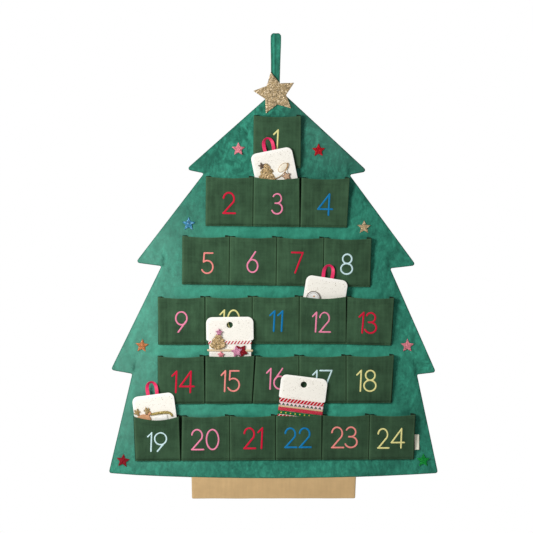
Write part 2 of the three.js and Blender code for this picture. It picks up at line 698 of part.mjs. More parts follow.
function ribbonLoop(number) {
  const { strand, ply, crestPly, crestDepth } = RIBBON;
  const rings = [];
  for (let k = 0; k <= RIBBON_STEPS; k += 1) {
    const angle = Math.PI * (k / RIBBON_STEPS);
    const rise = Math.sin(angle);
    const middle = ribbonMiddle(angle);
    const along = k === 0 ? point(0, 1) : ribbonMiddle(angle + 0.002).sub(middle).normalize();
    const out = k === RIBBON_STEPS ? point(1, 0) : point(along.y, -along.x);
    const flat = (1 - rise ** 4) ** 0.5;
    const wide = (crestPly + (strand - crestPly) * flat) / 2;
    const thick = (ply + (crestDepth - ply) * (1 - flat)) / 2;
    const corners = [
      [-wide, -thick],
      [wide, -thick],
      [wide, thick],
      [-wide, thick],
    ];
    rings.push(corners.map(([w, t]) => new THREE.Vector3(middle.x + out.x * w, t, middle.y + out.y * w)));
  }
  const start = rings[0].map((v) => point(v.x, v.y));
  const end = rings[rings.length - 1].map((v) => point(v.x, -v.y));
  const arch = loft(rings, start, end);
  const back = THREE.MathUtils.degToRad(RIBBON_LEAN_BACK + CARD_LEAN);
  arch.rotateX(-back);
  arch.translate(RIBBON_SHIFT[number] ?? 0, 0, GAP + (ply / 2) * Math.sin(back));
  return piece(`ribbon_loop_${twoDigits(number)}`, arch, 0xd81e5b, 0.45);
}

// Hair tie: a closed band round the narrow part of a card
function tieGeometry(number, { drop, band, thick }) {
  const reach = CARDS[number].width / 2 + GAP;
  const depth = CARD_BOARD / 2 + GAP;
  const shape = roundedRectangle(-reach - thick, reach + thick, -depth - thick, depth + thick, thick);
  const inside = roundedRectangle(-reach, reach, -depth, depth, GAP);
  shape.holes.push(new THREE.Path(inside.getPoints(2).reverse()));
  const tie = new THREE.ExtrudeGeometry(shape, { depth: band, bevelEnabled: false, curveSegments: 3 });
  return tie.translate(0, 0, -drop - band / 2);
}

// Snow-covered fir of three tiers, as an outline with its foot at the origin
function firShape(width, height) {
  const shape = new THREE.Shape();
  const half = width / 2;
  shape.moveTo(-half, 0);
  shape.lineTo(half, 0);
  shape.lineTo(half * 0.55, height * 0.33);
  shape.lineTo(half * 0.75, height * 0.33);
  shape.lineTo(half * 0.35, height * 0.66);
  shape.lineTo(half * 0.5, height * 0.66);
  shape.lineTo(half * 0.08, height);
  shape.lineTo(-half * 0.08, height);
  shape.lineTo(-half * 0.5, height * 0.66);
  shape.lineTo(-half * 0.35, height * 0.66);
  shape.lineTo(-half * 0.75, height * 0.33);
  shape.lineTo(-half * 0.55, height * 0.33);
  shape.closePath();
  return shape;
}

const CARD_FRONT = -CARD_BOARD / 2 - GAP;

// A trim piece of the card: an outline set on the card's front at x, z and turned by degrees
function trim(shape, { x, z, turn = 0 }, thickness = TRIM_THICKNESS, lift = 0) {
  const geometry = plate(shape, thickness, 5);
  geometry.rotateY(-THREE.MathUtils.degToRad(turn));
  return geometry.translate(x, CARD_FRONT - lift, z);
}

function firTrim(place) {
  return trim(firShape(place.width, place.height), place);
}

function starTrim(place, thickness = TRIM_THICKNESS, lift = 0) {
  return trim(starShape(place.radius, place.inner), place, thickness, lift);
}

function card03Trims() {
  const proud = TRIM_THICKNESS + TRIM_STEP;
  const { left, right, half, corner } = BAR_CLIP_03;
  const bar = trim(roundedRectangle(left, right, -half, half, corner), BAR_CLIP_03);
  const bowShape = roundedRectangle(-BOW_03.half, BOW_03.half, -BOW_03.long, BOW_03.long, BOW_03.corner);
  const bow = trim(bowShape, BOW_03, TRIM_THICKNESS + TRIM_STEP / 2);
  const fir = joined(firTrim(FIR_CLIP_03), starTrim(FIR_CLIP_STAR_03, proud));
  return [
    piece("card_03_fir_clip", fir, 0xb09460, 0.6, 0.3),
    piece("card_03_snap_clip", joined(bar, bow, starTrim(BAR_CLIP_STAR_03, proud)), 0xe9dcc2, 0.5, 0.2),
  ];
}

function card12Trims() {
  const disc = new THREE.Shape();
  disc.absarc(0, 0, DISC_CLIP_12.radius, 0, 2 * Math.PI, false);
  return [piece("card_12_disc_clip", trim(disc, DISC_CLIP_12, DISC_CLIP_12.thick), 0xf2eee8, 0.5)];
}

// Antler outline with its foot at the origin, pointing up
function antlerShape() {
  const antler = new THREE.Shape();
  antler.moveTo(-2.2, 0);
  antler.lineTo(2.2, 0);
  antler.lineTo(5.5, 6);
  antler.lineTo(2.2, 5.4);
  antler.lineTo(1.5, 11);
  antler.lineTo(-1.4, 5.6);
  antler.lineTo(-5, 7);
  antler.closePath();
  return antler;
}

// Clip outline, a bar that bends down at its right end
function bowClipShape() {
  const bow = new THREE.Shape();
  bow.moveTo(-19, -9);
  bow.lineTo(-12, -5);
  bow.lineTo(12, -4.5);
  bow.quadraticCurveTo(15, -6.5, 17.5, -9.5);
  bow.lineTo(20.5, -7);
  bow.quadraticCurveTo(18, 0, 12, 1);
  bow.quadraticCurveTo(-6, 2, -19, -1.5);
  bow.closePath();
  return bow;
}

function card19Trims() {
  const head = new THREE.Shape();
  head.absellipse(0, 0, HEAD_CLIP_19.half, HEAD_CLIP_19.tall, 0, 2 * Math.PI, false, 0);
  const face = trim(head, HEAD_CLIP_19, HEAD_CLIP_19.thick);
  const antlers = [-1, 1].map((side) => {
    const turn = ANTLER_19.lean - side * ANTLER_19.turn;
    const x = HEAD_CLIP_19.x + side * ANTLER_19.in;
    return trim(antlerShape(), { x, z: HEAD_CLIP_19.z + ANTLER_19.up, turn });
  });
  return [
    piece("card_19_antler_clip", joined(face, ...antlers), 0xc08a58, 0.6),
    piece("card_19_snap_clip", trim(bowClipShape(), BOW_CLIP_19), 0xa29450, 0.5, 0.3),
  ];
}

function card15Trims() {
  const [stripe, elastic] = TIES[15];
  const lift = elastic.thick - GAP;
  const charms = [LARGE_CHARM_15, SMALL_CHARM_15].map((charm) => starTrim(charm, TRIM_THICKNESS, lift));
  return [
    piece("card_15_stripe_tie", tieGeometry(15, stripe), stripe.colour, 0.85),
    piece("card_15_star_tie", joined(tieGeometry(15, elastic), ...charms), elastic.colour, 0.85),
    piece("card_15_fir_clip", joined(firTrim(FIR_CLIP_15), starTrim(FIR_CLIP_STAR_15)), 0xb09460, 0.6, 0.3),
  ];
}

function card22Trims() {
  return TIES[22].map((tie) => piece(`card_22_${tie.name}`, tieGeometry(22, tie), tie.colour, 0.85));
}

function cardGroup(number) {
  const group = cardFrame(number);
  group.add(giftCard(number));
  if (CARDS[number].flare === 0) {
    group.add(ribbonLoop(number));
  }
  const trims = { 3: card03Trims, 12: card12Trims, 15: card15Trims, 19: card19Trims, 22: card22Trims };
  trims[number]().forEach((mesh) => group.add(mesh));
  return group;
}

// The whole calendar, set so that the loop's bearing point is the origin

const corners = treeCorners();
const calendar = new THREE.Group();
const tree = new THREE.Group();
tree.position.set(-LOOP_X, -LOOP_Y, 0);
tree.add(frontPanel(corners), wadding(corners), backPanel(corners), hangingLoop(), trunk(), topStar());
SMALL_STARS.forEach((star) => tree.add(smallStar(star)));
ROWS.forEach((row) => tree.add(pocketRow(row)));
Object.keys(CARDS).forEach((number) => tree.add(cardGroup(Number(number))));
calendar.add(tree);

export default calendar;
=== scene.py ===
from functools import cache
from math import acos, atan2, copysign, cos, dist, pi, radians, sin, sqrt, tan

import bmesh
import bpy
import numpy as np
from bpy.props import FloatProperty, FloatVectorProperty, IntProperty, PointerProperty
from mathutils import Matrix, Vector, noise
from mathutils.geometry import delaunay_2d_cdt


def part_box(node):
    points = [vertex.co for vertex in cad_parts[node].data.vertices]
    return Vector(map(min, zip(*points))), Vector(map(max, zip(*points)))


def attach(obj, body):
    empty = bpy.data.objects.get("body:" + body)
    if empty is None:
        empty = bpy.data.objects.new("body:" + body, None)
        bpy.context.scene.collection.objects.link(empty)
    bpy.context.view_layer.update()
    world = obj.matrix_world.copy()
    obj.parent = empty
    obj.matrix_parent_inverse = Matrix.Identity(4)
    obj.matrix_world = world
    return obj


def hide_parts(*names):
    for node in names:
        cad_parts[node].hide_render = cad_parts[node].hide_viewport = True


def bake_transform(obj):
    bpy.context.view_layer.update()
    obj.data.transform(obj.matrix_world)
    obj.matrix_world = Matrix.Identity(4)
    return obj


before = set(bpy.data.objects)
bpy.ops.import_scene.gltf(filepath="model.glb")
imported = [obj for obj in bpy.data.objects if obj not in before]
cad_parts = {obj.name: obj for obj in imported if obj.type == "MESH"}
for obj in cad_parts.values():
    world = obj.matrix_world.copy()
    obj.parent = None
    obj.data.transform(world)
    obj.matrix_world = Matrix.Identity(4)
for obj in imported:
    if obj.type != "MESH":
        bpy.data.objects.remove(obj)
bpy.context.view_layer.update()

bl_info = {
    "name": "Cloth advent calendar",
    "version": (1, 0, 0),
    "blender": (4, 5, 0),
    "location": "3D View > Sidebar > Calendar",
    "description": "Velvet fir tree with 24 numbered pockets, gift cards, stars and a soft studio",
    "category": "Add Mesh",
}

# Frame

MM = 0.001
AXIS_X = (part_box("front_panel")[0].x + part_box("front_panel")[1].x) / 2
BACK_Y = 3.5
FRONT_Y = -4.0
GAP = 0.3
TREE = Matrix.Translation((AXIS_X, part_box("back_panel")[1].y - BACK_Y * MM, 0)) @ Matrix.Scale(MM, 4)

# Sizes shared with the CAD, in its millimetres

PITCH = 80
POCKET_HALF = PITCH / 2 - GAP
ROW_X = 2
# "sewn" is how far a row's cloth strays from its even place: sideways, up, turned in degrees, and taller
ROWS = (
    {"first": 1, "count": 1, "top": -140.8, "height": 85.1, "turn": 0, "sewn": (-2.0, 1.9, 0.0, 2.8)},
    {"first": 2, "count": 3, "top": -244.8, "height": 84.3, "turn": -0.2, "sewn": (-1.3, 1.2, 0.05, -1.2)},
    {"first": 5, "count": 4, "top": -346.6, "height": 81.8, "turn": -0.2, "sewn": (-0.7, 1.6, -0.05, 0)},
    {"first": 9, "count": 5, "top": -448.3, "height": 80.4, "turn": -0.2, "sewn": (-1.4, 2.2, 0.74, 0)},
    {"first": 14, "count": 5, "top": -548.8, "height": 79, "turn": 0.65, "sewn": (-1.2, 2.6, 0.18, 1.8)},
    {"first": 19, "count": 6, "top": -649.4, "height": 74.8, "turn": 1.0, "sewn": (-1.2, 2.0, -0.09, 1.1)},
)
# Pockets that stray from their row: how far up, and turned in degrees
ASKEW = {9: (-0.7, 0), 11: (0.7, 0), 12: (0.7, -0.4), 13: (-0.9, -1.6)}
# How far a mouth sags in its middle, and how far its front stands off the velvet at the mouth and the bottom
DEEP_SAGS = {3: 4, 12: 4, 15: 1.2, 19: 7, 22: 1.2}
MOUTH_SAG = 2.5
POCKET_DEPTHS = (11, 4.5)
GIFT_DEPTHS = (15, 6)
BULGE = 1.5

# Corners of the tree's outline: x and z
APEX_Z = -91
TIPS = ((155, -231.5), (239, -390.5), (277, -572))
NOTCHES = ((124, -237.5), (194.6, -396), (242, -576))
BOTTOM_HALF = 279.5
BOTTOM_CORNER_Z = -746.5
BOTTOM_SAG = 8.5
BOTTOM_Z = BOTTOM_CORNER_Z - BOTTOM_SAG
# How steeply the foot slants, and how far hand-cut corners lie off their even places
FOOT_SLANT = 0.0115
UNEVEN = {
    TIPS[2]: (-2.6, 0),
    (-277, -572): (-2.2, -1.4),
    (-242, -576): (-0.5, -3.6),
    (-BOTTOM_HALF, BOTTOM_CORNER_Z): (-1.4, 1.0),
}
# The velvet's rolled rim from the front to the seam: inset from the outline, and depth
RIM = (
    *((13, -4.0), (9.5, -3.9), (6.5, -3.7), (4.4, -3.3), (3.2, -2.85)),
    *((2.4, -2.75), (1.4, -2.55), (0.6, -1.7), (0.15, -0.7), (0, 0.3)),
)
SEAM_Y = 2.2

LOOP_X = -3.8
LOOP_Y = -1.9
# Stars: x and z of the middle, radius to the points and between them, degrees turned
TOP_STAR = (-4.3, -100.7, 36.9, 19, 11.8)
SMALL_STAR = (11.6, 5.5)
SMALL_STARS = {
    "star_pink_upper": (-65.7, -195.9, 0, "pink_glitter"),
    "star_red": (70.5, -196.6, 1, "red_glitter"),
    "star_blue": (-149, -323.9, 0, "blue_sequin"),
    "star_gold": (149.1, -326.5, 0, "gold_glitter"),
    "star_copper": (-226.1, -531.6, -4, "copper_glitter"),
    "star_pink_lower": (224.7, -527, 0, "pink_glitter"),
    "star_dark_red": (-256.5, -727.2, -6, "dark_red_glitter"),
    "star_green": (253.8, -721.5, 0, "green_glitter"),
}
# Gift cards: degrees they lean back, thickness, and depth of their middle at the mouth
CARD_LEAN = 5.5
CARD_BOARD = 0.8
MOUTH_STAND = 9
CARDS = {
    3: {"shift": -11.5, "rise": 46.8, "tilt": 12, "width": 71, "height": 80, "flare": 0},
    12: {"shift": 7.3, "rise": 35.6, "tilt": -8.5, "width": 71, "height": 80, "flare": 0},
    15: {"shift": 1.7, "rise": 68.7, "tilt": 1.3, "width": 71, "height": 106, "flare": 9},
    19: {"shift": -7.9, "rise": 38.9, "tilt": 8, "width": 71, "height": 86, "flare": 0},
    22: {"shift": 10.1, "rise": 67.7, "tilt": -6.5, "width": 70, "height": 104, "flare": 9},
}

# How far each side's edge is pulled in at the mouth and the bottom, or below zero, spreads over its seam
EASED = (0.15, 0.15)
PULLED = {
    1: ((-0.4, -0.2), (-0.4, -0.6)),
    2: ((-1.2, -0.8), EASED),
    3: (EASED, (2.2, 0.6)),
    4: ((1.2, 0.5), (-3.2, 0.4)),
    5: ((-0.8, -0.2), EASED),
    8: (EASED, (-0.6, 0.8)),
    9: ((-0.8, 0.6), (0.6, 0.1)),
    12: (EASED, (0.8, 0.3)),
    13: ((0.5, 0.3), (-0.8, 2.4)),
    14: ((0.2, 0.6), (1.0, 0.3)),
    15: ((1.2, 0.5), (-4.6, 0.2)),
    16: ((6.4, 0.8), EASED),
    18: (EASED, (-1.3, 4.0)),
    19: ((0.6, 3.2), (2.7, 0.7)),
    20: ((2.4, 0.7), (-3.0, -3.0)),
    21: ((3.3, 3.3), (-1.3, -0.9)),
    22: ((1.6, 1.2), (0.5, 1.2)),
    23: ((-0.2, -0.9), (-1.0, 1.4)),
    24: ((1.3, -1.1), (1.8, 5.0)),
}

# Numerals: offset of their middle from the pocket's middle line and mouth, width and height, colour of thread
NUMERALS = {
    1: (-1.8, -41.8, 10.5, 38, "yellow"),
    2: (-0.7, -44.2, 23.7, 38.1, "red"),
    3: (1.6, -44.6, 18.3, 37, "pink"),
    4: (2.1, -44.9, 27.3, 38.4, "blue"),
    5: (3.5, -45.8, 21, 37.6, "coral"),
    6: (-0.6, -42.6, 20.6, 37.6, "pink"),
    7: (-4.9, -42.6, 22, 37.6, "red"),
    8: (-0.5, -43.9, 21.6, 36.6, "ice"),
    9: (-0.3, -42, 21.7, 37.2, "pink"),
    10: (1.9, -40.3, 35.9, 38.1, "yellow"),
    11: (1, -41.9, 24.7, 37.2, "blue"),
    12: (-2.5, -43.6, 32.9, 36, "pink"),
    13: (-2.8, -43.3, 32.4, 37.6, "red"),
    14: (3.1, -43.5, 39.7, 38.7, "red"),
    15: (3.6, -42.5, 33.5, 37.6, "coral"),
    16: (0.8, -38.9, 34, 37.6, "pink"),
    17: (-0.6, -42.7, 34.8, 37.6, "ice"),
    18: (-5.7, -43.1, 34.8, 38, "yellow"),
    19: (0.1, -43.7, 34.5, 34.4, "ice"),
    20: (1.5, -40.2, 48.5, 36.8, "pink"),
    21: (3.3, -38.4, 34.6, 37.8, "red"),
    22: (-1, -37.9, 46.8, 35.8, "blue"),
    23: (-2.2, -37.8, 45.7, 37.4, "coral"),
    24: (-2.9, -40, 47.4, 35.5, "yellow"),
}


def srgb(red, green, blue):
    """A colour given in 0 to 255, as the linear colour that Blender keeps."""
    return [((c / 255 + 0.055) / 1.055) ** 2.4 if c > 10 else c / 255 / 12.92 for c in (red, green, blue)]


# What every colour setting has in common
COLOUR = {"subtype": "COLOR", "size": 3, "min": 0, "max": 1}


def two_digits(number):
    """A pocket's number as names have it."""
    return f"{number:02d}"


def row_of(number):
    """The row that a pocket is in."""
    return next(row for row in ROWS if row["first"] <= number < row["first"] + row["count"])


def along_row(number):
    """How far a pocket's middle lies from its row's middle."""
    row = row_of(number)
    return (number - row["first"] - (row["count"] - 1) / 2) * PITCH


def in_plane(degrees):
    """A turn in the plane of the tree."""
    return Matrix.Rotation(-radians(degrees), 4, "Y")


def row_matrix(row):
    """From a row's own millimetres, its middle at the mouths, to the frame."""
    across, up, turn, _ = row["sewn"]
    place = Matrix.Translation((ROW_X + across, FRONT_Y - GAP, row["top"] + up))
    return TREE @ place @ in_plane(row["turn"] + turn)


def pocket_matrix(number):
    """From a pocket's own millimetres, the middle of its mouth at the origin, to the frame."""
    up, turn = ASKEW.get(number, (0, 0))
    return row_matrix(row_of(number)) @ Matrix.Translation((along_row(number), 0, up)) @ in_plane(turn)


def card_matrix(number):
    """From a card's own millimetres, its top edge's middle at the origin, to the frame."""
    card, row = CARDS[number], row_of(number)
    across = along_row(number)
    turn, lean = radians(row["turn"]), radians(CARD_LEAN)
    x = ROW_X + across * cos(turn) + card["shift"] + row["sewn"][0]
    z = row["top"] + across * sin(turn) + card["rise"]
    y = FRONT_Y - GAP - MOUTH_STAND - card["rise"] * tan(lean)
    return TREE @ Matrix.Translation((x, y, z)) @ Matrix.Rotation(lean, 4, "X") @ in_plane(card["tilt"])


# Shader maths


def fill(tree, target, value):
    """Links an output to a socket, or sets the socket to a plain value."""
    value = getattr(value, "socket", value)
    if isinstance(value, bpy.types.NodeSocket):
        tree.links.new(value, target)
    elif isinstance(value, (list, tuple)):
        target.default_value = (*value, 1)[: len(target.default_value)]
    else:
        target.default_value = value


def add_node(tree, kind, settings=None, sockets=None):
    """Any node: its settings first, then each socket's value or link."""
    node = tree.nodes.new(kind)
    for key, value in (settings or {}).items():
        setattr(node, key, value)
    for key, value in (sockets or {}).items():
        fill(tree, node.inputs[key], value)
    return node


def math_node(operation):
    """A Python operator that adds one Math node."""
    return lambda value, other: value.math(operation, value, other)


class Value:
    """A shader value: Python's operators on it add Math nodes to its material."""

    __add__ = __radd__ = math_node("ADD")
    __mul__ = __rmul__ = math_node("MULTIPLY")
    __sub__ = math_node("SUBTRACT")
    __truediv__ = math_node("DIVIDE")
    __pow__ = math_node("POWER")
    __gt__ = math_node("GREATER_THAN")
    __lt__ = math_node("LESS_THAN")

    def __init__(self, finish, socket):
        self.finish = finish
        self.socket = socket

    def __rsub__(self, other):
        return self.math("SUBTRACT", other, self)

    def math(self, operation, *values):
        """One Math node."""
        return self.finish.node("ShaderNodeMath", {"operation": operation}, dict(enumerate(values)))

    def wave(self, period):
        """0 to 1 and back, once in each period."""
        return self.math("SINE", self * (2 * pi / period)) * 0.5 + 0.5

    def part(self, period):
        """How far along its own period, from 0 to 1."""
        return self.math("FRACT", self / period)

    def size(self):
        """Without its sign."""
        return self.math("ABSOLUTE", self)

    def held(self):
        """Kept from 0 to 1."""
        return self.math("MINIMUM", self.math("MAXIMUM", self, 0.0), 1.0)


class Finish:
    """One procedural material, built round a Principled shader."""

    def __init__(self, name, **constants):
        self.material = bpy.data.materials.new(name)
        self.material.use_nodes = True
        self.tree = self.material.node_tree
        self.tree.nodes.clear()
        self.shader = add_node(self.tree, "ShaderNodeBsdfPrincipled")
        add_node(self.tree, "ShaderNodeOutputMaterial", None, {0: self.shader.outputs[0]})
        self.set(**constants)

    def set(self, **sockets):
        """Fills the shader's sockets, named with _ for a space, and gives the material."""
        for name, value in sockets.items():
            fill(self.tree, self.shader.inputs[name.replace("_", " ")], value)
        return self.material

    def node(self, kind, settings=None, sockets=None, out=0):
        """Any node, as the value of one of its outputs."""
        return Value(self, add_node(self.tree, kind, settings, sockets).outputs[out])

    def place(self):
        """Where a point of the piece is, in metres."""
        return self.node("ShaderNodeTexCoord", out="Object")

    def along_cloth(self):
        """Metres along and across the cloth, from the piece's own coordinates."""
        return self.node("ShaderNodeTexCoord", out="UV")

    def mark(self, name):
        """A value kept with each of the mesh's points."""
        return self.node("ShaderNodeAttribute", {"attribute_name": name}, out="Fac")

    def parts(self, vector):
        """A vector's or a colour's three numbers."""
        split = self.node("ShaderNodeSeparateXYZ", None, {0: vector})
        return [Value(self, output) for output in split.socket.node.outputs]

    def scaled(self, vector, scale, turn=(0, 0, 0)):
        """Coordinates stretched and turned."""
        return self.node("ShaderNodeMapping", None, {"Vector": vector, "Rotation": turn, "Scale": scale})

    def grain(self, vector, scale, detail=2.0, roughness=0.5, distortion=0.0):
        """Soft noise from 0 to 1."""
        sockets = {"Vector": vector, "Scale": scale, "Detail": detail, "Roughness": roughness}
        return self.node("ShaderNodeTexNoise", None, {**sockets, "Distortion": distortion}, out="Fac")

    def cells(self, vector, scale, out="Color"):
        """Cells of one colour each, or the distance to the nearest cell's middle."""
        return self.node("ShaderNodeTexVoronoi", None, {"Vector": vector, "Scale": scale}, out=out)

    def ramp(self, value, *stops):
        """Colours along a value: each stop's place and colour."""
        colours = self.node("ShaderNodeValToRGB", None, {0: value})
        ramp = colours.socket.node.color_ramp
        while len(ramp.elements) < len(stops):
            ramp.elements.new(0.5)
        for element, (place, colour) in zip(ramp.elements, stops):
            element.position = place
            element.color = (*colour, 1)
        return colours

    def tones(self, value, colour, *stops):
        """Lighter and darker tones of one colour along a value: each stop's place and factor."""
        return self.ramp(value, *((place, shade(colour, factor)) for place, factor in stops))

    def mix(self, share, first, second):
        """From the first colour to the second."""
        return self.node("ShaderNodeMix", {"data_type": "RGBA"}, {0: share, 6: first, 7: second}, out=2)

    def bump(self, height, strength, distance, under=None):
        """A normal that follows a height, over another relief where one is given."""
        sockets = {"Strength": strength, "Distance": distance, "Height": height}
        return self.node("ShaderNodeBump", None, {**sockets, "Normal": under} if under else sockets)


def shade(colour, factor):
    """A colour made lighter or darker."""
    return [min(c * factor, 1.0) for c in colour]


def velvet_finish(name, colour, mottle):
    """Crushed velvet: clouds, crushed patches and short marks in the pile, darker at the top, with painted
    light and shade.
    """
    finish = Finish(name, Sheen_Weight=0.1, Sheen_Roughness=0.45, Sheen_Tint=srgb(150, 220, 195))
    here = finish.place()
    clouds = finish.grain(here, 7.0, 2.0, 0.5, 0.4)
    crush = finish.grain(finish.scaled(here, (1, 1, 0.8), (0, 0.5, 0)), 52.0, 5.0, 0.68, 1.6)
    marks = finish.grain(finish.scaled(here, (1, 1, 0.45), (0, -0.4, 0)), 190.0, 3.0, 0.6, 0.8)
    nap = finish.grain(here, 620.0, 2.0, 0.6)
    across, _, height = finish.parts(here)
    upper = ((height + 0.26) / 0.1).held()
    # Painted light on the left of the middle tiers and the right of the top tier, painted shade at the top
    # left and along the foot.
    left, right = (across * -6 - 0.25).held(), (across * 10).held()
    middle = ((height + 0.2) * -6.7).held() * ((height + 0.77) * 10).held()
    painted_light = left * middle * 0.4 + right * upper * 0.28
    painted_shade = (across * -10).held() * upper * 0.2 + ((height + 0.68) * -16).held() * 0.14
    pile = clouds * 0.3 + crush * 0.38 + marks * 0.24 + nap * 0.08
    pile = (pile - 0.5) * (upper * 0.7 + 1) + 0.5 - upper * 0.05
    stops = ((0.405, -0.62), (0.47, -0.2), (0.52, 0.12), (0.605, 1.0))
    colours = finish.tones(pile, colour, *((place, 1 + strays * mottle) for place, strays in stops))
    colours = finish.mix(painted_light, colours, srgb(110, 166, 148))
    # Painted shade at the top left and the foot, painted light in the bands between the rows, painted shade
    # in the creases and along the rim.
    for share, factor in (
        (painted_shade, 0.4),
        (finish.mark("lifted") * 0.4, 2.1),
        (finish.mark("crease") * 0.8, 0.32),
        (finish.mark("rim") * 0.75, 0.4),
    ):
        colours = finish.mix(share, colours, shade(colour, factor))
    relief = finish.bump(crush * 0.6 + marks * 0.4, 0.5, 0.0018)
    normal = finish.bump(nap, 0.3, 0.0003, relief)
    return finish.set(Base_Color=colours, Roughness=0.86 - nap * 0.1, Specular_IOR_Level=0.12, Normal=normal)


def woven_finish(name, colour, thread, slub, twill=0.0, worn=None, rough=0.9, sheen=0.05, low=0.0):
    """Plain or twill cloth: threads, uneven slubs, rubbed folds, painted shade in pleats and gaps, and darker
    lower rows.
    """
    finish = Finish(name, Sheen_Weight=sheen, Sheen_Roughness=0.5, Sheen_Tint=shade(colour, 2.4))
    here = finish.place()
    x, y, z = finish.parts(here)
    diagonal = (x + z * twill + y).wave(thread * 1.6)
    weave = diagonal * 0.5 + x.wave(thread) * z.wave(thread) * 0.5
    lying = finish.grain(finish.scaled(here, (26, 60, 280)), 1.0, 2.0, 0.55)
    standing = finish.grain(finish.scaled(here, (240, 60, 16)), 1.0, 2.0, 0.55)
    tone = lying * 0.14 + standing * 0.3 + finish.grain(here, 34.0, 3.0, 0.6) * 0.56
    colours = finish.tones(tone, colour, (0.36, 1 - slub * 1.6), (0.64, 1 + slub * 1.6))
    colours = finish.mix(weave * 0.14, colours, shade(colour, 0.5))
    if low:
        colours = finish.mix(((z + 0.46) * -5).held() * low, colours, shade(colour, 0.3))
    if worn:
        colours = finish.mix(finish.mark("fold") * 0.5, colours, worn)
        # Painted shade in the pleats and on the side walls between pockets.
        colours = finish.mix(finish.mark("within"), colours, shade(colour, 0.3))
    normal = finish.bump(weave, 0.3, 0.0002, finish.bump(tone, 0.45, 0.0009))
    finish.set(Specular_IOR_Level=0.1)
    return finish.set(Base_Color=colours, Roughness=rough - weave * 0.08, Normal=normal)


def thread_finish(name, colour):
    """Satin stitch: fine threads laid across each stroke, with a silky light along the middle."""
    finish = Finish(name, Sheen_Weight=0.04, Sheen_Roughness=0.3, Specular_IOR_Level=0.16)
    along, across, _ = finish.parts(finish.along_cloth())
    strands = (along + across * 0.25).wave(0.00055)
    uneven = finish.grain(finish.scaled(finish.along_cloth(), (900, 120, 1)), 1.0, 2.0, 0.6)
    colours = finish.tones(strands * 0.55 + uneven * 0.45, colour, (0.2, 0.8), (0.55, 1), (0.85, 1.25))
    normal = finish.bump(strands, 0.4, 0.0002)
    return finish.set(Base_Color=colours, Roughness=0.42 + uneven * 0.15, Normal=normal)


def glitter_finish(name, colour, flake, metal):
    """Glitter: a crust of small tilted flakes, each with its own tone and facing."""
    bright = metal > 0.35
    coat, specular = (0.5 * metal, 0.5) if bright else (0.0, 0.16)
    finish = Finish(name, Coat_Weight=coat, Coat_Roughness=0.2, Specular_IOR_Level=specular)
    here = finish.place()
    red, green, blue = finish.parts(finish.cells(here, 1 / flake))
    # The palest flakes are whitened past the glitter's colour as painted glints.
    colours = finish.ramp(
        red * 0.6 + finish.grain(here, 240.0, 2.0, 0.6) * 0.4,
        *((place, shade(colour, factor)) for place, factor in ((0.15, 0.28), (0.38, 0.8), (0.6, 1.12))),
        (0.82, [min(1, c * 1.35 + 0.5 * metal * metal) for c in colour]),
    )
    normal = finish.bump(red, 0.75, 0.0006)
    return finish.set(Base_Color=colours, Metallic=green * metal, Roughness=0.28 + blue * 0.35, Normal=normal)


def card_finish(name, colour):
    """Speckled matt board with a paler rim."""
    finish = Finish(name, Specular_IOR_Level=0.2)
    uv = finish.along_cloth()
    fine = finish.cells(uv, 640.0, "Distance") < 0.3
    fine = fine * (finish.parts(finish.cells(uv, 640.0))[0] > 0.8)
    coarse = finish.cells(uv, 290.0, "Distance") < 0.2
    coarse = coarse * (finish.parts(finish.cells(uv, 290.0))[1] > 0.78)
    fibre = finish.grain(finish.scaled(uv, (900, 300, 1)), 1.0, 3.0, 0.6)
    rim = finish.mark("rim")
    ground = finish.mix(rim, colour, srgb(255, 253, 247))
    ground = finish.mix(fibre * 0.1, ground, srgb(222, 212, 194))
    specks = ((fine * 0.45 + coarse * 0.6) * (1 - rim * 0.85)).held()
    colours = finish.mix(specks, ground, srgb(128, 112, 88))
    normal = finish.bump(fibre, 0.2, 0.0002)
    return finish.set(Base_Color=colours, Roughness=0.72 + fibre * 0.15, Normal=normal)


def ribbon_finish(name, colour):
    """Satin ribbon: fine ribs across its length and darker edges."""
    finish = Finish(name, Sheen_Weight=0.15, Sheen_Roughness=0.3, Sheen_Tint=srgb(255, 150, 190))
    along, across, _ = finish.parts(finish.along_cloth())
    ribs = along.wave(0.0008)
    edge = (across.size() - 0.0023).held() * 700
    uneven = finish.grain(finish.scaled(finish.along_cloth(), (300, 60, 1)), 1.0, 2.0, 0.5)
    colours = finish.tones(ribs * 0.35 + uneven * 0.65, colour, (0.25, 0.78), (0.75, 1.25))
    colours = finish.mix(edge.held() * 0.4, colours, shade(colour, 0.6))
    normal = finish.bump(ribs, 0.4, 0.0002)
    return finish.set(Base_Color=colours, Roughness=0.36 + uneven * 0.2, Normal=normal)


def felt_finish(name, colour):
    """Felt or napped plush: matted fibres."""
    finish = Finish(name, Sheen_Weight=0.2, Sheen_Roughness=0.5)
    here = finish.place()
    fibre = finish.grain(here, 700.0, 4.0, 0.7, 1.5)
    clouds = finish.grain(here, 150.0, 2.0, 0.6)
    colours = finish.tones(fibre * 0.6 + clouds * 0.4, colour, (0.3, 0.74), (0.7, 1.15))
    normal = finish.bump(fibre, 0.6, 0.0005)
    return finish.set(Base_Color=colours, Roughness=0.9 - clouds * 0.1, Normal=normal)


def metal_finish(name, colour):
    """Worn gilt edging."""
    finish = Finish(name)
    wear = finish.grain(finish.place(), 500.0, 3.0, 0.6)
    colours = finish.tones(wear, colour, (0.3, 0.7), (0.7, 1.2))
    normal = finish.bump(wear, 0.3, 0.0003)
    finish.set(Metallic=0.65 - wear * 0.3)
    return finish.set(Base_Color=colours, Roughness=0.3 + wear * 0.25, Normal=normal)


def enamel_finish(name, colour):
    """Glossy cream enamel, a little cloudy."""
    finish = Finish(name, Coat_Weight=0.4, Coat_Roughness=0.15)
    clouds = finish.grain(finish.place(), 220.0, 3.0, 0.6)
    colours = finish.tones(clouds, colour, (0.3, 0.86), (0.7, 1.06))
    normal = finish.bump(clouds, 0.15, 0.0003)
    return finish.set(Base_Color=colours, Roughness=0.34 + clouds * 0.2, Normal=normal)


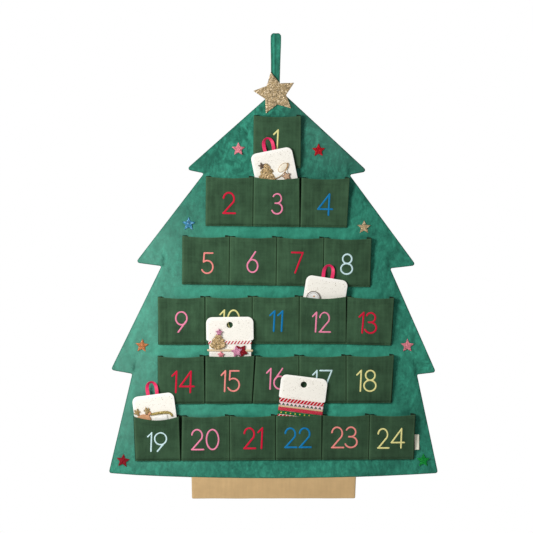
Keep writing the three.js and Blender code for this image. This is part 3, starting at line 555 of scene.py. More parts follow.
def tie_finish(name, ground, figure, pattern, band, pitch=0.0055, share=0.5):
    """Elastic tie with a woven pattern that runs along it."""
    finish = Finish(name, Sheen_Weight=0.03, Sheen_Roughness=0.4, Specular_IOR_Level=0.12)
    along, across, _ = finish.parts(finish.along_cloth())
    beside = ((along.part(pitch) - 0.5) * pitch).size()
    if pattern == "stripe":
        shape = (along - across * 0.75).part(pitch) < share
    elif pattern == "firs":
        half = band / 2
        up = across + half * 0.74
        shape = (beside < (half * 1.55 - up) * 0.72) * (up > 0.0)
    elif pattern == "dots":
        shape = ((beside * beside + across * across) ** 0.5) < 0.0012
    else:
        shape = (beside * 1.1 + across).part(band * 0.36) < 0.3
    knit = finish.grain(finish.scaled(finish.along_cloth(), (1500, 1500, 1)), 1.0, 2.0, 0.6)
    colours = finish.mix(shape, ground, figure)
    colours = finish.mix(knit * 0.2, colours, shade(ground, 0.55))
    normal = finish.bump(along.wave(0.0007) * 0.5 + knit * 0.5 + shape * 0.6, 0.4, 0.0003)
    return finish.set(Base_Color=colours, Roughness=0.78 + knit * 0.15, Normal=normal)


# Mesh making


def scene_object(name, data):
    """A new object in the scene."""
    made = bpy.data.objects.new(name, data)
    bpy.context.scene.collection.objects.link(made)
    return made


def mesh_points(mesh):
    """The places of a mesh's points."""
    flat = np.empty(len(mesh.vertices) * 3)
    mesh.vertices.foreach_get("co", flat)
    return flat.reshape(-1, 3)


def move_points(mesh, points):
    """Puts a mesh's points in new places."""
    mesh.vertices.foreach_set("co", points.ravel())
    mesh.update()


def ring_faces(rings, count, start=0):
    """Faces between closed rings of points that follow each other."""
    faces = []
    for n in range(rings - 1):
        a, b = start + n * count, start + (n + 1) * count
        faces += [(a + i, a + (i + 1) % count, b + (i + 1) % count, b + i) for i in range(count)]
    return faces


def grid_faces(rows, size):
    """Faces of an open cloth whose points come row by row."""
    firsts = [j * size + i for j in range(rows - 1) for i in range(size - 1)]
    return [(a, a + 1, a + size + 1, a + size) for a in firsts]


def thickened(piece, thickness):
    """Gives a cloth its thickness in metres, half to each side."""
    thick = piece.modifiers.new("cloth", "SOLIDIFY")
    thick.thickness, thick.offset = thickness, 0


def softened(piece):
    """Rounds a piece with one step of subdivision."""
    soft = piece.modifiers.new("soft", "SUBSURF")
    soft.levels = soft.render_levels = 1


def ripple(x, y, z):
    """Smooth unevenness from -1 to 1, the same at each run."""
    return noise.noise(Vector((x, y, z)))


def unit(vectors):
    """Rows of vectors, each made one long."""
    return vectors / np.maximum(np.linalg.norm(vectors, axis=1, keepdims=True), 1e-9)


def run_lengths(path):
    """How far along a path each of its points lies."""
    return np.concatenate([[0], np.cumsum(np.linalg.norm(np.diff(path, axis=0), axis=1))])


def signed_area(outline):
    """An outline's area, below zero where it runs clockwise."""
    after = np.roll(outline, -1, 0)
    return (outline[:, 0] * after[:, 1] - outline[:, 1] * after[:, 0]).sum() / 2


def make_piece(name, points, faces, finish, matrix=TREE, uv=None, marks=None, sharp=None, weld=False):
    """A mesh object from points in the matrix's millimetres, with its faces turned outwards."""
    turned = np.array(matrix.to_3x3())
    placed = np.asarray(points, float) @ turned.T + np.array(matrix.translation)
    mesh = bpy.data.meshes.new(name)
    mesh.from_pydata(placed.tolist(), [], [list(f) for f in faces])
    mesh.materials.append(finish)
    if uv is not None:
        layer = mesh.uv_layers.new(name="UVMap")
        corners = np.empty(len(mesh.loops), np.int32)
        mesh.loops.foreach_get("vertex_index", corners)
        layer.data.foreach_set("uv", np.asarray(uv, np.float32)[corners].ravel())
    for mark, values in (marks or {}).items():
        mesh.attributes.new(mark, "FLOAT", "POINT").data.foreach_set("value", np.asarray(values, np.float32))
    shaped = bmesh.new()
    shaped.from_mesh(mesh)
    if weld:
        bmesh.ops.remove_doubles(shaped, verts=shaped.verts, dist=1e-6)
    if shaped.calc_volume(signed=True) < 0:
        bmesh.ops.reverse_faces(shaped, faces=shaped.faces)
    shaped.to_mesh(mesh)
    shaped.free()
    mesh.shade_smooth()
    if sharp is not None:
        mesh.set_sharp_from_angle(angle=radians(sharp))
    return scene_object(name, mesh)


def settle(piece, body, slot, *nodes):
    """Rides the piece on its body and hides the CAD nodes that it stands for; its slot is not used."""
    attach(piece, body)
    if nodes:
        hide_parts(*nodes)
    return piece


def joined(name, pieces):
    """Several pieces of one body made one object."""
    bpy.ops.object.select_all(action="DESELECT")
    for piece in pieces:
        piece.select_set(True)
    bpy.context.view_layer.objects.active = pieces[0]
    bpy.ops.object.join()
    pieces[0].name = name
    pieces[0].data.name = name
    return pieces[0]


def rounded_ring(corners, inset):
    """A counter-clockwise outline moved inwards, its corners rounded, with as many points for any inset."""
    sides = []
    for corner, following in zip(corners, corners[1:] + corners[:1]):
        along = (following[0] - corner[0]).normalized()
        sides.append((corner[0] + Vector((-along.y, along.x)) * inset, along))
    ring = []
    for i, (at, radius, steps) in enumerate(corners):
        (before_at, before), (after_at, after) = sides[i - 1], sides[i]
        if steps == 0:
            level = (before + after).normalized()
            ring.append(at + Vector((-level.y, level.x)) * inset)
            continue
        cross = before.cross(after)
        gap = after_at - before_at
        tip = before_at + before * (gap.cross(after) / cross)
        side = copysign(1, cross)
        radius = max(radius - side * inset, 0.2)
        angle = acos(max(-1, min(1, before.dot(after))))
        centre = tip - before * (radius * tan(angle / 2)) + Vector((-before.y, before.x)) * radius * side
        first = atan2(before.y, before.x) - pi / 2 * side
        for k in range(steps + 1):
            a = first + angle * side * k / steps
            ring.append(centre + Vector((cos(a), sin(a))) * radius)
    return np.array([tuple(p) for p in ring])


def bottom_edge(x):
    """Height of the foot's even, slightly round edge."""
    radius = (BOTTOM_HALF**2 + BOTTOM_SAG**2) / (2 * BOTTOM_SAG)
    return BOTTOM_Z + radius - sqrt(radius**2 - x**2)


def strayed(x, z):
    """Where a hand-cut corner really lies: the foot slants, and the lowest tips and a notch are uneven."""
    slant = FOOT_SLANT * x if z < BOTTOM_CORNER_Z + 1 else 0
    dx, dz = UNEVEN.get((x, z), (0, 0))
    return Vector((x + dx, z + dz + slant))


def tree_corners():
    """The outline's corners, counter-clockwise from the foot: place, radius, and steps of its rounding."""
    right = [((BOTTOM_HALF, BOTTOM_CORNER_Z), 4)]
    for tip, notch in zip(reversed(TIPS), reversed(NOTCHES)):
        right += [(notch, 2), (tip, 4)]
    corners = [(strayed(x, bottom_edge(x)), 0, 0) for x in (BOTTOM_HALF * (k / 6 - 1) for k in range(1, 12))]
    corners += [(strayed(*at), radius, 5) for at, radius in right]
    corners.append((Vector((0, APEX_Z)), 4, 5))
    return corners + [(strayed(-at[0], at[1]), radius, 5) for at, radius in reversed(right)]


def tree_ring(inset, step=6.5):
    """The tree's outline with points every few millimetres, in the same number for any inset."""
    corners = tree_corners()
    plain, ring = rounded_ring(corners, 0), rounded_ring(corners, inset)
    points = []
    for i in range(len(plain)):
        j = (i + 1) % len(plain)
        parts = max(1, round(np.linalg.norm(plain[j] - plain[i]) / step))
        points += [ring[i] + (ring[j] - ring[i]) * k / parts for k in range(parts)]
    return np.array(points)


def inside(points, loops):
    """Which points lie within the closed outlines, by the even-odd rule."""
    within = np.zeros(len(points), bool)
    for loop in loops:
        a, b = loop, np.roll(loop, -1, 0)
        for (ax, az), (bx, bz) in zip(a, b):
            if az == bz:
                continue
            crossing = (points[:, 1] > min(az, bz)) & (points[:, 1] <= max(az, bz))
            crossing &= points[:, 0] < ax + (points[:, 1] - az) * (bx - ax) / (bz - az)
            within ^= crossing
    return within


def beside(points, a, b):
    """How far along the line from a to b each point lies, as a share, and how far away from it."""
    along = b - a
    share = ((points - a) @ along) / max(along @ along, 1e-12)
    return share, np.linalg.norm(points - a - np.clip(share, 0, 1)[:, None] * along, axis=1)


def clearance(points, loops):
    """Each point's distance to the nearest outline."""
    sides = [beside(points, a, b)[1] for loop in loops for a, b in zip(loop, np.roll(loop, -1, 0))]
    return np.min(sides, axis=0)


def nearest(points, others):
    """Each point's distance to the nearest of the others, worked out in parts."""
    parts = np.array_split(points, len(points) // 400 + 1)
    return np.concatenate([np.sqrt(((part[:, None] - others) ** 2).sum(2)).min(1) for part in parts])


def filled(loops, spacing=None, extra=None):
    """Points and triangles over the area within outlines, whose own points come first, in order."""
    points = edge_points = np.concatenate(loops)
    edges, start = [], 0
    for loop in loops:
        edges += [(start + i, start + (i + 1) % len(loop)) for i in range(len(loop))]
        start += len(loop)
    if spacing:
        low, high = edge_points.min(0), edge_points.max(0)
        xs, zs = np.arange(low[0], high[0], spacing), np.arange(low[1], high[1], spacing * 0.866)
        grid = np.array([(x + (spacing / 2) * (j % 2), z) for j, z in enumerate(zs) for x in xs])
        grid = grid[inside(grid, loops)]
        grid = grid[clearance(grid, loops) > spacing * 0.55]
        if extra is not None:
            apart = nearest(grid, extra)
            extra = extra[inside(extra, loops)]
            grid = np.concatenate([grid[apart > 1.6], extra[clearance(extra, loops) > 0.8]])
        points = np.concatenate([edge_points, grid]) if len(grid) else edge_points
    verts, _, faces = delaunay_2d_cdt([Vector(p) for p in points], edges, [], 1, 1e-6)[:3]
    flat, faces = np.array([tuple(v) for v in verts]), np.array(faces)
    return flat, faces[~inside(flat[faces].mean(1), loops[1:])]


def inset_outline(outline, inset):
    """A counter-clockwise outline moved inwards along its corners' mitres."""
    before, after = unit(outline - np.roll(outline, 1, 0)), unit(np.roll(outline, -1, 0) - outline)
    first = np.stack([-before[:, 1], before[:, 0]], 1)
    mitre = unit(first + np.stack([-after[:, 1], after[:, 0]], 1))
    return outline + mitre * inset / np.maximum((mitre * first).sum(1, keepdims=True), 0.45)


def anticlockwise(outline):
    """The outline, turned to run counter-clockwise."""
    outline = np.asarray(outline, float)
    return outline if signed_area(outline) > 0 else outline[::-1]


def raised_plate(
    name, outline, thickness, finish, matrix, base, bevel, crown=0.0, rough=0.0, spacing=2.0, **more
):
    """A plate in a card's or the tree's plane: back at y base, rounded edges, and a crowned front.

    More can be a hole, a rim to be marked, and a seed for its roughness.
    """
    hole, rim, seed = more.get("hole"), more.get("rim"), more.get("seed", 0)
    loops = [anticlockwise(outline)] + ([anticlockwise(hole)[::-1]] if hole is not None else [])
    levels = [(bevel, 0.0), (bevel * 0.3, bevel * 0.3), (0, bevel)]
    levels += [(inset, thickness - depth) for inset, depth in reversed(levels)]
    points, faces, firsts = [], [], []
    for loop in loops:
        firsts.append(len(points))
        faces += ring_faces(len(levels), len(loop), len(points))
        points += [(x, base - depth, z) for inset, depth in levels for x, z in inset_outline(loop, inset)]
    ends = [inset_outline(loop, bevel) for loop in loops]
    flat, triangles = filled(ends, spacing)
    inner = flat[sum(map(len, ends)) :]
    for front in (False, True):
        level = (len(levels) - 1) * front
        index = [first + level * len(loop) + np.arange(len(loop)) for first, loop in zip(firsts, loops)]
        index = np.concatenate([*index, len(points) + np.arange(len(inner))])
        depth = np.zeros(len(inner))
        if front and len(inner):
            lumps = [rough * ripple(x * 0.9 + seed, z * 0.9, seed * 3.1) for x, z in inner]
            depth = thickness + crown * (1 - np.exp(-clearance(inner, ends) / 3)) + lumps
        points += [(x, base - y, z) for (x, z), y in zip(inner, depth)]
        faces += [tuple(index[t] if front else index[t[::-1]]) for t in triangles]
    points = np.array(points)
    marks = None
    if rim:
        marks = {"rim": np.clip((rim - clearance(points[:, [0, 2]], loops[:1])) / 0.5 + 1, 0, 1)}
    return make_piece(name, points, faces, finish, matrix, uv=points[:, [0, 2]] * MM, marks=marks, sharp=45)


def star_outline(radius, inner, turn=0.0, soft=0.0):
    """A five-pointed star, its points a little blunt where soft is more than 0."""
    corners = []
    for k in range(10):
        reach = radius if k % 2 == 0 else inner
        angle = pi / 2 + radians(turn) + k * pi / 5
        if soft and k % 2 == 0:
            for side in (-1, 1):
                a = angle + side * soft / radius
                corners.append(((reach - soft) * cos(a), (reach - soft) * sin(a)))
            corners.insert(-1, (reach * cos(angle), reach * sin(angle)))
        else:
            corners.append((reach * cos(angle), reach * sin(angle)))
    outline = []
    for a, b in zip(corners, corners[1:] + corners[:1]):
        parts = max(1, round(dist(a, b) / 2.2))
        outline += [np.array(a) + (np.array(b) - a) * k / parts for k in range(parts)]
    return np.array(outline)


def smooth_path(points, step, closed=False):
    """A Catmull-Rom curve through points, with a point every step."""
    p = np.asarray(points, float)
    ends = (p[-1:], p[:2]) if closed else (2 * p[:1] - p[1:2], 2 * p[-1:] - p[-2:-1])
    p = np.concatenate([ends[0], p, ends[1]])
    fine = []
    for a, b, c, d in zip(p, p[1:], p[2:], p[3:]):
        linear, square, cube = c - a, 2 * a - 5 * b + 4 * c - d, 3 * b - a - 3 * c + d
        fine += [0.5 * (2 * b + linear * t + square * t**2 + cube * t**3) for t in np.linspace(0, 1, 17)[:-1]]
    return even_path([*fine, fine[0] if closed else p[-2]], step)


def even_path(points, step):
    """The same path with its points evenly spaced, about a step apart."""
    points = np.asarray(points, float)
    lengths = run_lengths(points)
    where = np.linspace(0, lengths[-1], max(2, round(lengths[-1] / step) + 1))
    return np.stack([np.interp(where, lengths, points[:, k]) for k in range(points.shape[1])], 1)


def swept(path, across, out, section, scale=1.0, closed=False):
    """Points, faces and cloth coordinates of a section of (across, out) pairs carried along a path."""
    section = np.broadcast_to(section, (len(path), *np.shape(section)[-2:]))
    count, size = section.shape[:2]
    section = section * np.broadcast_to(scale, count)[:, None, None]
    rings = path[:, None] + section[:, :, :1] * across[:, None] + section[:, :, 1:] * out[:, None]
    run = run_lengths(path)
    points, faces = rings.reshape(-1, 3), ring_faces(count, size)
    uv = np.stack([np.repeat(run, size), section[:, :, 0].ravel()], 1) * MM
    if not closed:
        head, tail, last = len(points), len(points) + 1, (count - 1) * size
        points = np.concatenate([points, path[:1], path[-1:]])
        uv = np.concatenate([uv, [[0, 0]], [[run[-1] * MM, 0]]])
        faces += [(head, (k + 1) % size, k) for k in range(size)]
        faces += [(tail, last + k, last + (k + 1) % size) for k in range(size)]
    return points, faces, uv


def round_section(width, height, count):
    """An oval section, as wide and high as given."""
    angles = np.arange(count) * 2 * pi / count
    return np.stack([np.cos(angles) * width / 2, np.sin(angles) * height / 2], 1)


def arc(x, z, reach, rise, first, last, steps=28):
    """Points of an oval's arc, from one degree to another."""
    angles = [radians(first + (last - first) * k / steps) for k in range(steps + 1)]
    return [(x + reach * cos(a), z + rise * sin(a)) for a in angles]


def flat_section(width, thickness, corner, steps):
    """A flat strap's section with rounded edges, its long sides in some steps."""
    corner = min(corner, thickness / 2 * 0.98)
    half, thick = width / 2 - corner, thickness / 2 - corner
    points = []
    for cx, cy, first in ((half, thick, 0), (-half, thick, 90), (-half, -thick, 180), (half, -thick, 270)):
        points += arc(cx, cy, corner, corner, first, first + 90, 2)
        if first in (0, 180):
            side = copysign(1, cx)
            points += [(side * half * (1 - 2 * k / steps), side * thickness / 2) for k in range(1, steps)]
    return np.array(points)


def path_frames(path, out):
    """Unit vectors across a path, square to it and to out."""
    ahead = unit(np.gradient(path, axis=0))
    across = unit(np.cross(ahead, np.broadcast_to(out, path.shape)))
    return across, np.cross(across, ahead)


# Repeats made with Geometry Nodes


class Repeat:
    """A Geometry Nodes tree built node by node, with named inputs for its sizes."""

    def __init__(self, name, **inputs):
        self.tree = bpy.data.node_groups.new(name, "GeometryNodeTree")
        self.inputs = {}
        self.socket("Geometry", "INPUT", "NodeSocketGeometry")
        for label, value in inputs.items():
            kind = "NodeSocketInt" if isinstance(value, int) else "NodeSocketFloat"
            self.socket(label, "INPUT", kind).default_value = value
        self.socket("Material", "INPUT", "NodeSocketMaterial")
        self.socket("Geometry", "OUTPUT", "NodeSocketGeometry")
        self.start = add_node(self.tree, "NodeGroupInput")

    def socket(self, label, way, kind):
        """A named input or output of the tree."""
        socket = self.tree.interface.new_socket(name=label, in_out=way, socket_type=kind)
        if way == "INPUT":
            self.inputs[label] = socket.identifier
        return socket

    def given(self, label):
        """What the tree is given under that name."""
        return self.start.outputs[label]

    def node(self, kind, settings=None, sockets=None, out=0):
        """Any node, as one of its outputs."""
        return add_node(self.tree, kind, settings, sockets).outputs[out]

    def painted(self, geometry):
        """Instances made real and given the finish."""
        real = self.node("GeometryNodeRealizeInstances", None, {0: geometry})
        sockets = {"Geometry": real, "Material": self.given("Material")}
        return self.node("GeometryNodeSetMaterial", None, sockets)

    def end(self, geometry):
        """Gives the geometry out."""
        add_node(self.tree, "NodeGroupOutput", None, {0: geometry})
        return self

    def applied(self, piece, **values):
        """Runs the tree on a piece once and keeps the result as its plain mesh."""
        modifier = piece.modifiers.new(self.tree.name, "NODES")
        modifier.node_group = self.tree
        for label, value in values.items():
            modifier[self.inputs[label]] = value
        graph = bpy.context.evaluated_depsgraph_get()
        shaped = piece.evaluated_get(graph)
        result = bpy.data.meshes.new_from_object(shaped, preserve_all_data_layers=True, depsgraph=graph)
        piece.modifiers.clear()
        result.name = piece.name
        piece.data = result
        return piece


@cache
def stitch_repeat():
    """Short plump stitches laid end to end along every line of the mesh."""
    repeat = Repeat("stitches", Spacing=0.003, Length=0.0023, Thickness=0.0005)
    given, node = repeat.given, repeat.node
    lines = node("GeometryNodeMeshToCurve", None, {"Mesh": given("Geometry")})
    even = node("GeometryNodeResampleCurve", {"mode": "LENGTH"}, {"Curve": lines, "Length": given("Spacing")})
    tangent = node("GeometryNodeInputTangent")
    turn = node("FunctionNodeAlignRotationToVector", {"axis": "X"}, {"Vector": tangent})
    stitch = node("GeometryNodeMeshIcoSphere", None, {"Radius": 0.5, "Subdivisions": 1})
    thick = given("Thickness")
    size = node("ShaderNodeCombineXYZ", None, {0: given("Length"), 1: thick, 2: thick})
    places = {"Points": even, "Instance": stitch, "Rotation": turn, "Scale": size}
    laid = node("GeometryNodeInstanceOnPoints", None, places)
    return repeat.end(node("GeometryNodeSetShadeSmooth", None, {0: repeat.painted(laid)}))


@cache
def flake_repeat():
    """Flat six-sided flakes scattered over a surface, each tipped a little its own way."""
    repeat = Repeat("flakes", Density=400000.0, Size=0.0005, Tip=0.6, Seed=1)
    given, node = repeat.given, repeat.node
    spread = {"Mesh": given("Geometry"), "Density": given("Density"), "Seed": given("Seed")}
    scatter = node("GeometryNodeDistributePointsOnFaces", None, spread)
    facing = scatter.node.outputs["Rotation"]
    flake = node("GeometryNodeMeshCircle", {"fill_type": "NGON"}, {"Vertices": 6, "Radius": 1.0})
    sizes = node("FunctionNodeRandomValue", {"data_type": "FLOAT"}, {2: 0.55, 3: 1.1, "Seed": 5}, 1)
    grown = node("ShaderNodeMath", {"operation": "MULTIPLY"}, {0: sizes, 1: given("Size")})
    places = {"Points": scatter, "Instance": flake, "Rotation": facing, "Scale": grown}
    laid = node("GeometryNodeInstanceOnPoints", None, places)
    tip = given("Tip")
    down = node("ShaderNodeMath", {"operation": "MULTIPLY"}, {0: tip, 1: -1.0})
    low = node("ShaderNodeCombineXYZ", None, {0: down, 1: down, 2: -3.1})
    high = node("ShaderNodeCombineXYZ", None, {0: tip, 1: tip, 2: 3.1})
    tips = node("FunctionNodeRandomValue", {"data_type": "FLOAT_VECTOR"}, {0: low, 1: high, "Seed": 9})
    tipped = node("GeometryNodeRotateInstances", None, {"Instances": laid, "Rotation": tips})
    move = {"Instances": tipped, "Translation": (0.0, -0.00012, 0.0), "Local Space": False}
    lifted = node("GeometryNodeTranslateInstances", None, move)
    both = add_node(repeat.tree, "GeometryNodeJoinGeometry", None, {0: repeat.painted(lifted)})
    fill(repeat.tree, both.inputs[0], given("Geometry"))
    return repeat.end(both.outputs[0])


def stitched(name, lines, finish, slot, spacing, length, thickness):
    """Rows of stitches along lines of points in metres, as one piece of the tree."""
    points, edges = [], []
    for line in lines:
        edges += [(len(points) + i, len(points) + i + 1) for i in range(len(line) - 1)]
        points += [tuple(p) for p in line]
    mesh = bpy.data.meshes.new(name)
    mesh.from_pydata(points, edges, [])
    piece = scene_object(name, mesh)
    stitch_repeat().applied(piece, Spacing=spacing, Length=length, Thickness=thickness, Material=finish)
    return settle(piece, "tree", slot)


def flaked(piece, finish, size, density, tip, seed):
    """A piece covered with loose flakes."""
    return flake_repeat().applied(piece, Density=density, Size=size, Tip=tip, Seed=seed, Material=finish)


# Velvet tree

# Radius that each glued star holds the velvet down in
STAR_HOLD = 10.5
TOP_STAR_HOLD = 27


def held_down(points):
    """Where the velvet is stitched or glued down: behind the pockets, the stars and the loop."""
    x, z = points[:, 0], points[:, 1]
    held = np.zeros(len(points), bool)
    for row in ROWS:
        turn = radians(row["turn"])
        dx, dz = x - ROW_X, z - row["top"]
        along, up = dx * cos(turn) + dz * sin(turn), dz * cos(turn) - dx * sin(turn)
        half = row["count"] * PITCH / 2 + 0.5
        held |= (abs(along) < half) & (up < 1) & (up > -row["height"] - 0.5)
    for sx, sz, _, _ in SMALL_STARS.values():
        held |= np.hypot(x - sx, z - sz) < STAR_HOLD
    held |= np.hypot(x - TOP_STAR[0], z - TOP_STAR[1]) < TOP_STAR_HOLD
    return held


def notch_creases():
    """Lines in the velvet that pull up from each notch between the tiers: foot, head."""
    return [
        (np.array([side * (x - 2.5), z + 2.0]), np.array([side * (x - 6.5), z + 25.0]))
        for x, z in NOTCHES
        for side in (-1, 1)
    ]


def crease_depth(points):
    """How deep in a crease each point lies, from 0 to 1."""
    deep = np.zeros(len(points))
    for foot, head in notch_creases():
        share, away = beside(points, foot, head)
        deep = np.maximum(deep, np.exp(-((away / 2.4) ** 2)) * np.clip(1.1 - share, 0, 1))
    return deep


def crease_points():
    """Extra points along and beside the creases."""
    points = []
    for foot, head in notch_creases():
        length = np.linalg.norm(head - foot)
        along = (head - foot) / length
        across = np.array([-along[1], along[0]])
        for run in np.arange(0, length + 2, 2.2):
            points += [foot + along * run + across * off for off in (-3.4, -1.6, 0, 1.6, 3.4)]
    return np.array(points)


def between_rows(points):
    """The bands of velvet between the rows, which are given painted light, from 0 to 1."""
    lifted = np.zeros(len(points))
    for upper, lower in zip(ROWS[1:], ROWS[2:]):
        top, foot = upper["top"] - upper["height"], lower["top"]
        near = np.clip((top + 3 - points[:, 1]) / 5, 0, 1) * np.clip((points[:, 1] - foot + 3) / 5, 0, 1)
        middle = np.clip((upper["count"] * PITCH / 2 + 30 - abs(points[:, 0])) / 40, 0, 1)
        lifted = np.maximum(lifted, near * middle)
    return lifted


# Frames that the velvet's simulation runs, rings of its rim that it leaves alone, and depth of its creases
PUFF_FRAMES = 20
HELD_RINGS = 5
CREASE_DEPTH = 1.3


def puffed(piece, cap):
    """Blows the pad up with a cloth simulation that moves no point further than cap, and keeps the result."""
    scene = bpy.context.scene
    cloth = piece.modifiers.new("puff", "CLOTH")
    settings = cloth.settings
    settings.quality = 5
    settings.mass = 0.3
    settings.tension_stiffness = settings.compression_stiffness = 12
    settings.shear_stiffness = 6
    settings.bending_stiffness = 0.6
    settings.use_pressure = True
    settings.uniform_pressure_force = 4
    settings.shrink_min = -0.035
    settings.vertex_group_mass = "held"
    settings.effector_weights.gravity = 0
    cloth.collision_settings.use_collision = False
    cloth.point_cache.frame_start, cloth.point_cache.frame_end = 1, PUFF_FRAMES
    for step in range(1, PUFF_FRAMES + 1):
        scene.frame_set(step)
    graph = bpy.context.evaluated_depsgraph_get()
    blown, flat = mesh_points(piece.evaluated_get(graph).to_mesh()), mesh_points(piece.data)
    piece.modifiers.clear()
    scene.frame_set(1)
    length = np.linalg.norm(blown - flat, axis=1, keepdims=True)
    move_points(piece.data, flat + (blown - flat) * cap * np.tanh(length / cap) / np.maximum(length, 1e-9))


def velvet_pad(sizes):
    """The padded tree: velvet front with its rolled rim, as one crowned closed form."""
    rings = [tree_ring(1.0)] + [tree_ring(inset) for inset, _ in reversed(RIM)]
    depths = [SEAM_Y] + [y for _, y in reversed(RIM)]
    count, last = len(rings[0]), (len(rings) - 1) * len(rings[0])
    points = [(x, y, z) for ring, y in zip(rings, depths) for x, z in ring]
    faces = ring_faces(len(rings), count)
    flat, triangles = filled([rings[-1]], sizes.velvet_step, crease_points())
    index = np.concatenate([last + np.arange(count), len(points) + np.arange(len(flat) - count)])
    points += [(x, RIM[0][1], z) for x, z in flat[count:]]
    faces += [tuple(index[t]) for t in triangles]
    faces += [tuple(t[::-1]) for t in filled([rings[0]])[1]]
    points = np.array(points)
    outline = points[:, [0, 2]]
    edge = clearance(outline, [tree_ring(0)])
    creases = crease_depth(outline) * (points[:, 1] < -2)
    # Marks for painted shade in the creases and along the rim, and painted light between the rows.
    marks = {"crease": creases, "rim": np.clip(1.2 - edge / 1.9, 0, 1), "lifted": between_rows(outline)}
    finish = velvet_finish("velvet", list(sizes.velvet_colour), sizes.mottle)
    pad = make_piece("velvet_front", points, faces, finish, marks=marks)
    held = held_down(outline)
    held[: HELD_RINGS * count] = True
    group = pad.vertex_groups.new(name="held")
    group.add([int(i) for i in np.flatnonzero(held)], 1.0, "REPLACE")
    puffed(pad, sizes.puff * MM)
    pad.vertex_groups.clear()
    free = np.where(held, 0.0, np.clip(nearest(outline, outline[held]) / 8, 0, 1))
    worked = mesh_points(pad.data)
    for i in np.flatnonzero(free > 0):
        x, z = outline[i]
        wrinkle = ripple(x / 19, z / 13, 2.0) + 0.5 * ripple(x / 7, z / 9, 7.0)
        worked[i, 1] -= sizes.wrinkle * MM * free[i] * wrinkle
    worked[:, 1] += CREASE_DEPTH * MM * creases
    move_points(pad.data, worked)
    softened(pad)
    return pad


def lining(sizes):
    """The flat back: plain cotton turned in at the seam, a little slack in the middle."""
    turn = ((2.2, 1.0), (1.2, 0.85), (1.0, 0.5), (1.3, 0.2), (2.4, 0.0))
    rings = [tree_ring(inset, 9) for inset, _ in turn]
    count = len(rings[0])
    points = [(x, BACK_Y - depth, z) for ring, (_, depth) in zip(rings, turn) for x, z in ring]
    faces = ring_faces(len(rings), count)
    for level in (0, len(rings) - 1):
        flat, triangles = filled([rings[level]], 11)
        index = np.concatenate([level * count + np.arange(count), len(points) + np.arange(len(flat) - count)])
        for x, z in flat[count:]:
            slack = 0.22 * ripple(x / 30, z / 45, 4.0) + 0.1 * ripple(x / 9, z / 12, 1.0)
            points.append((x, BACK_Y - turn[level][1] - 0.25 - slack, z))
        faces += [tuple(index[t] if level else index[t[::-1]]) for t in triangles]
    finish = woven_finish("lining", list(sizes.lining_colour), 0.0009, 0.08)
    return make_piece("lining_back", points, faces, finish)


class ADVENT_PG_tree(bpy.types.PropertyGroup):
    """Sizes and colours of the padded tree, its loop and its trunk"""

    velvet_colour: FloatVectorProperty(
        name="Velvet", description="Middle tone of the velvet", default=srgb(46, 123, 102), **COLOUR
    )
    lining_colour: FloatVectorProperty(
        name="Lining", description="Cotton at the back", default=srgb(44, 84, 64), **COLOUR
    )
    trunk_colour: FloatVectorProperty(
        name="Trunk", description="Canvas of the trunk", default=srgb(200, 168, 122), **COLOUR
    )
    mottle: FloatProperty(
        name="Mottle", description="How far the crushed pile strays from its middle tone",
        default=0.62, min=0, max=1, subtype="FACTOR",
    )
    puff: FloatProperty(
        name="Puff", description="Most that the velvet swells between its seams, in millimetres",
        default=3.0, min=0, max=6,
    )
    wrinkle: FloatProperty(
        name="Wrinkle", description="Height of the velvet's small ripples, in millimetres",
        default=0.35, min=0, max=2,
    )
    velvet_step: FloatProperty(
        name="Velvet grid", description="Spacing of the velvet's points, in millimetres",
        default=6.5, min=3, max=20,
    )
    loop_ease: FloatProperty(
        name="Loop ease", description="How far the loop's strap strays from straight, in millimetres",
        default=0.5, min=0, max=2,
    )
    trunk_wave: FloatProperty(
        name="Trunk wave", description="Height of the trunk's slow waves, in millimetres",
        default=0.7, min=0, max=3,
    )


class ADVENT_OT_velvet(bpy.types.Operator):
    """Make the padded velvet front with its rolled rim"""

    bl_idname = "advent.velvet"
    bl_label = "Velvet front"

    def execute(self, context):
        pad = settle(velvet_pad(context.scene.advent_tree), "tree", "velvet", "front_panel", "wadding")
        return {"FINISHED"}


class ADVENT_OT_lining(bpy.types.Operator):
    """Make the cotton back and the seam stitches that close it"""

    bl_idname = "advent.lining"
    bl_label = "Lining"

    def execute(self, context):
        back = settle(lining(context.scene.advent_tree), "tree", "lining", "back_panel")
        area = abs(signed_area(tree_ring(1.0, 9))) * MM * MM
        seam = tree_ring(4.5, 6)
        line = [TREE @ Vector((x, BACK_Y + 0.02, z)) for x, z in [*seam, seam[0]]]
        finish = thread_finish("seam_thread", srgb(36, 70, 54))
        stitched("lining_stitches", [line], finish, "lining", 0.0042, 0.003, 0.0006)
        return {"FINISHED"}


def loop_stations(ease):
    """Middle line of the strap in y and z, with its width, from the front tail over the hook to the back."""
    half, tail = 1.0, 1.15
    bend = 3.4 + half
    tails = [(-118, 14), (-104, 14), (-92, 14)]
    front = [(-tail, *rest) for rest in tails]
    front += [(-tail - 0.3, -84, 14.6), (-3.4, -62, 15.6), (-5.2, -40, 16.4), (LOOP_Y - bend, -14, 17.8)]
    over = []
    for k in range(9):
        y, z = cos(pi - pi * k / 8), sin(pi - pi * k / 8)
        over.append((LOOP_Y + bend * y, -3.4 + bend * z, 17.6 - 6.6 * z**2))
    back = [(LOOP_Y + bend, -14, 17.8), (2.1, -40, 16.4), (1.6, -62, 15.6), (tail + 0.3, -84, 14.6)]
    back += [(tail, *rest) for rest in reversed(tails)]
    path = smooth_path(front + over + back, 2.2)
    eased = np.array([ease * 0.3 * ripple(z / 16, y, 3.0) for y, z, _ in path])
    path[:, 0] += np.where(path[:, 1] > -80, eased, 0)
    return path


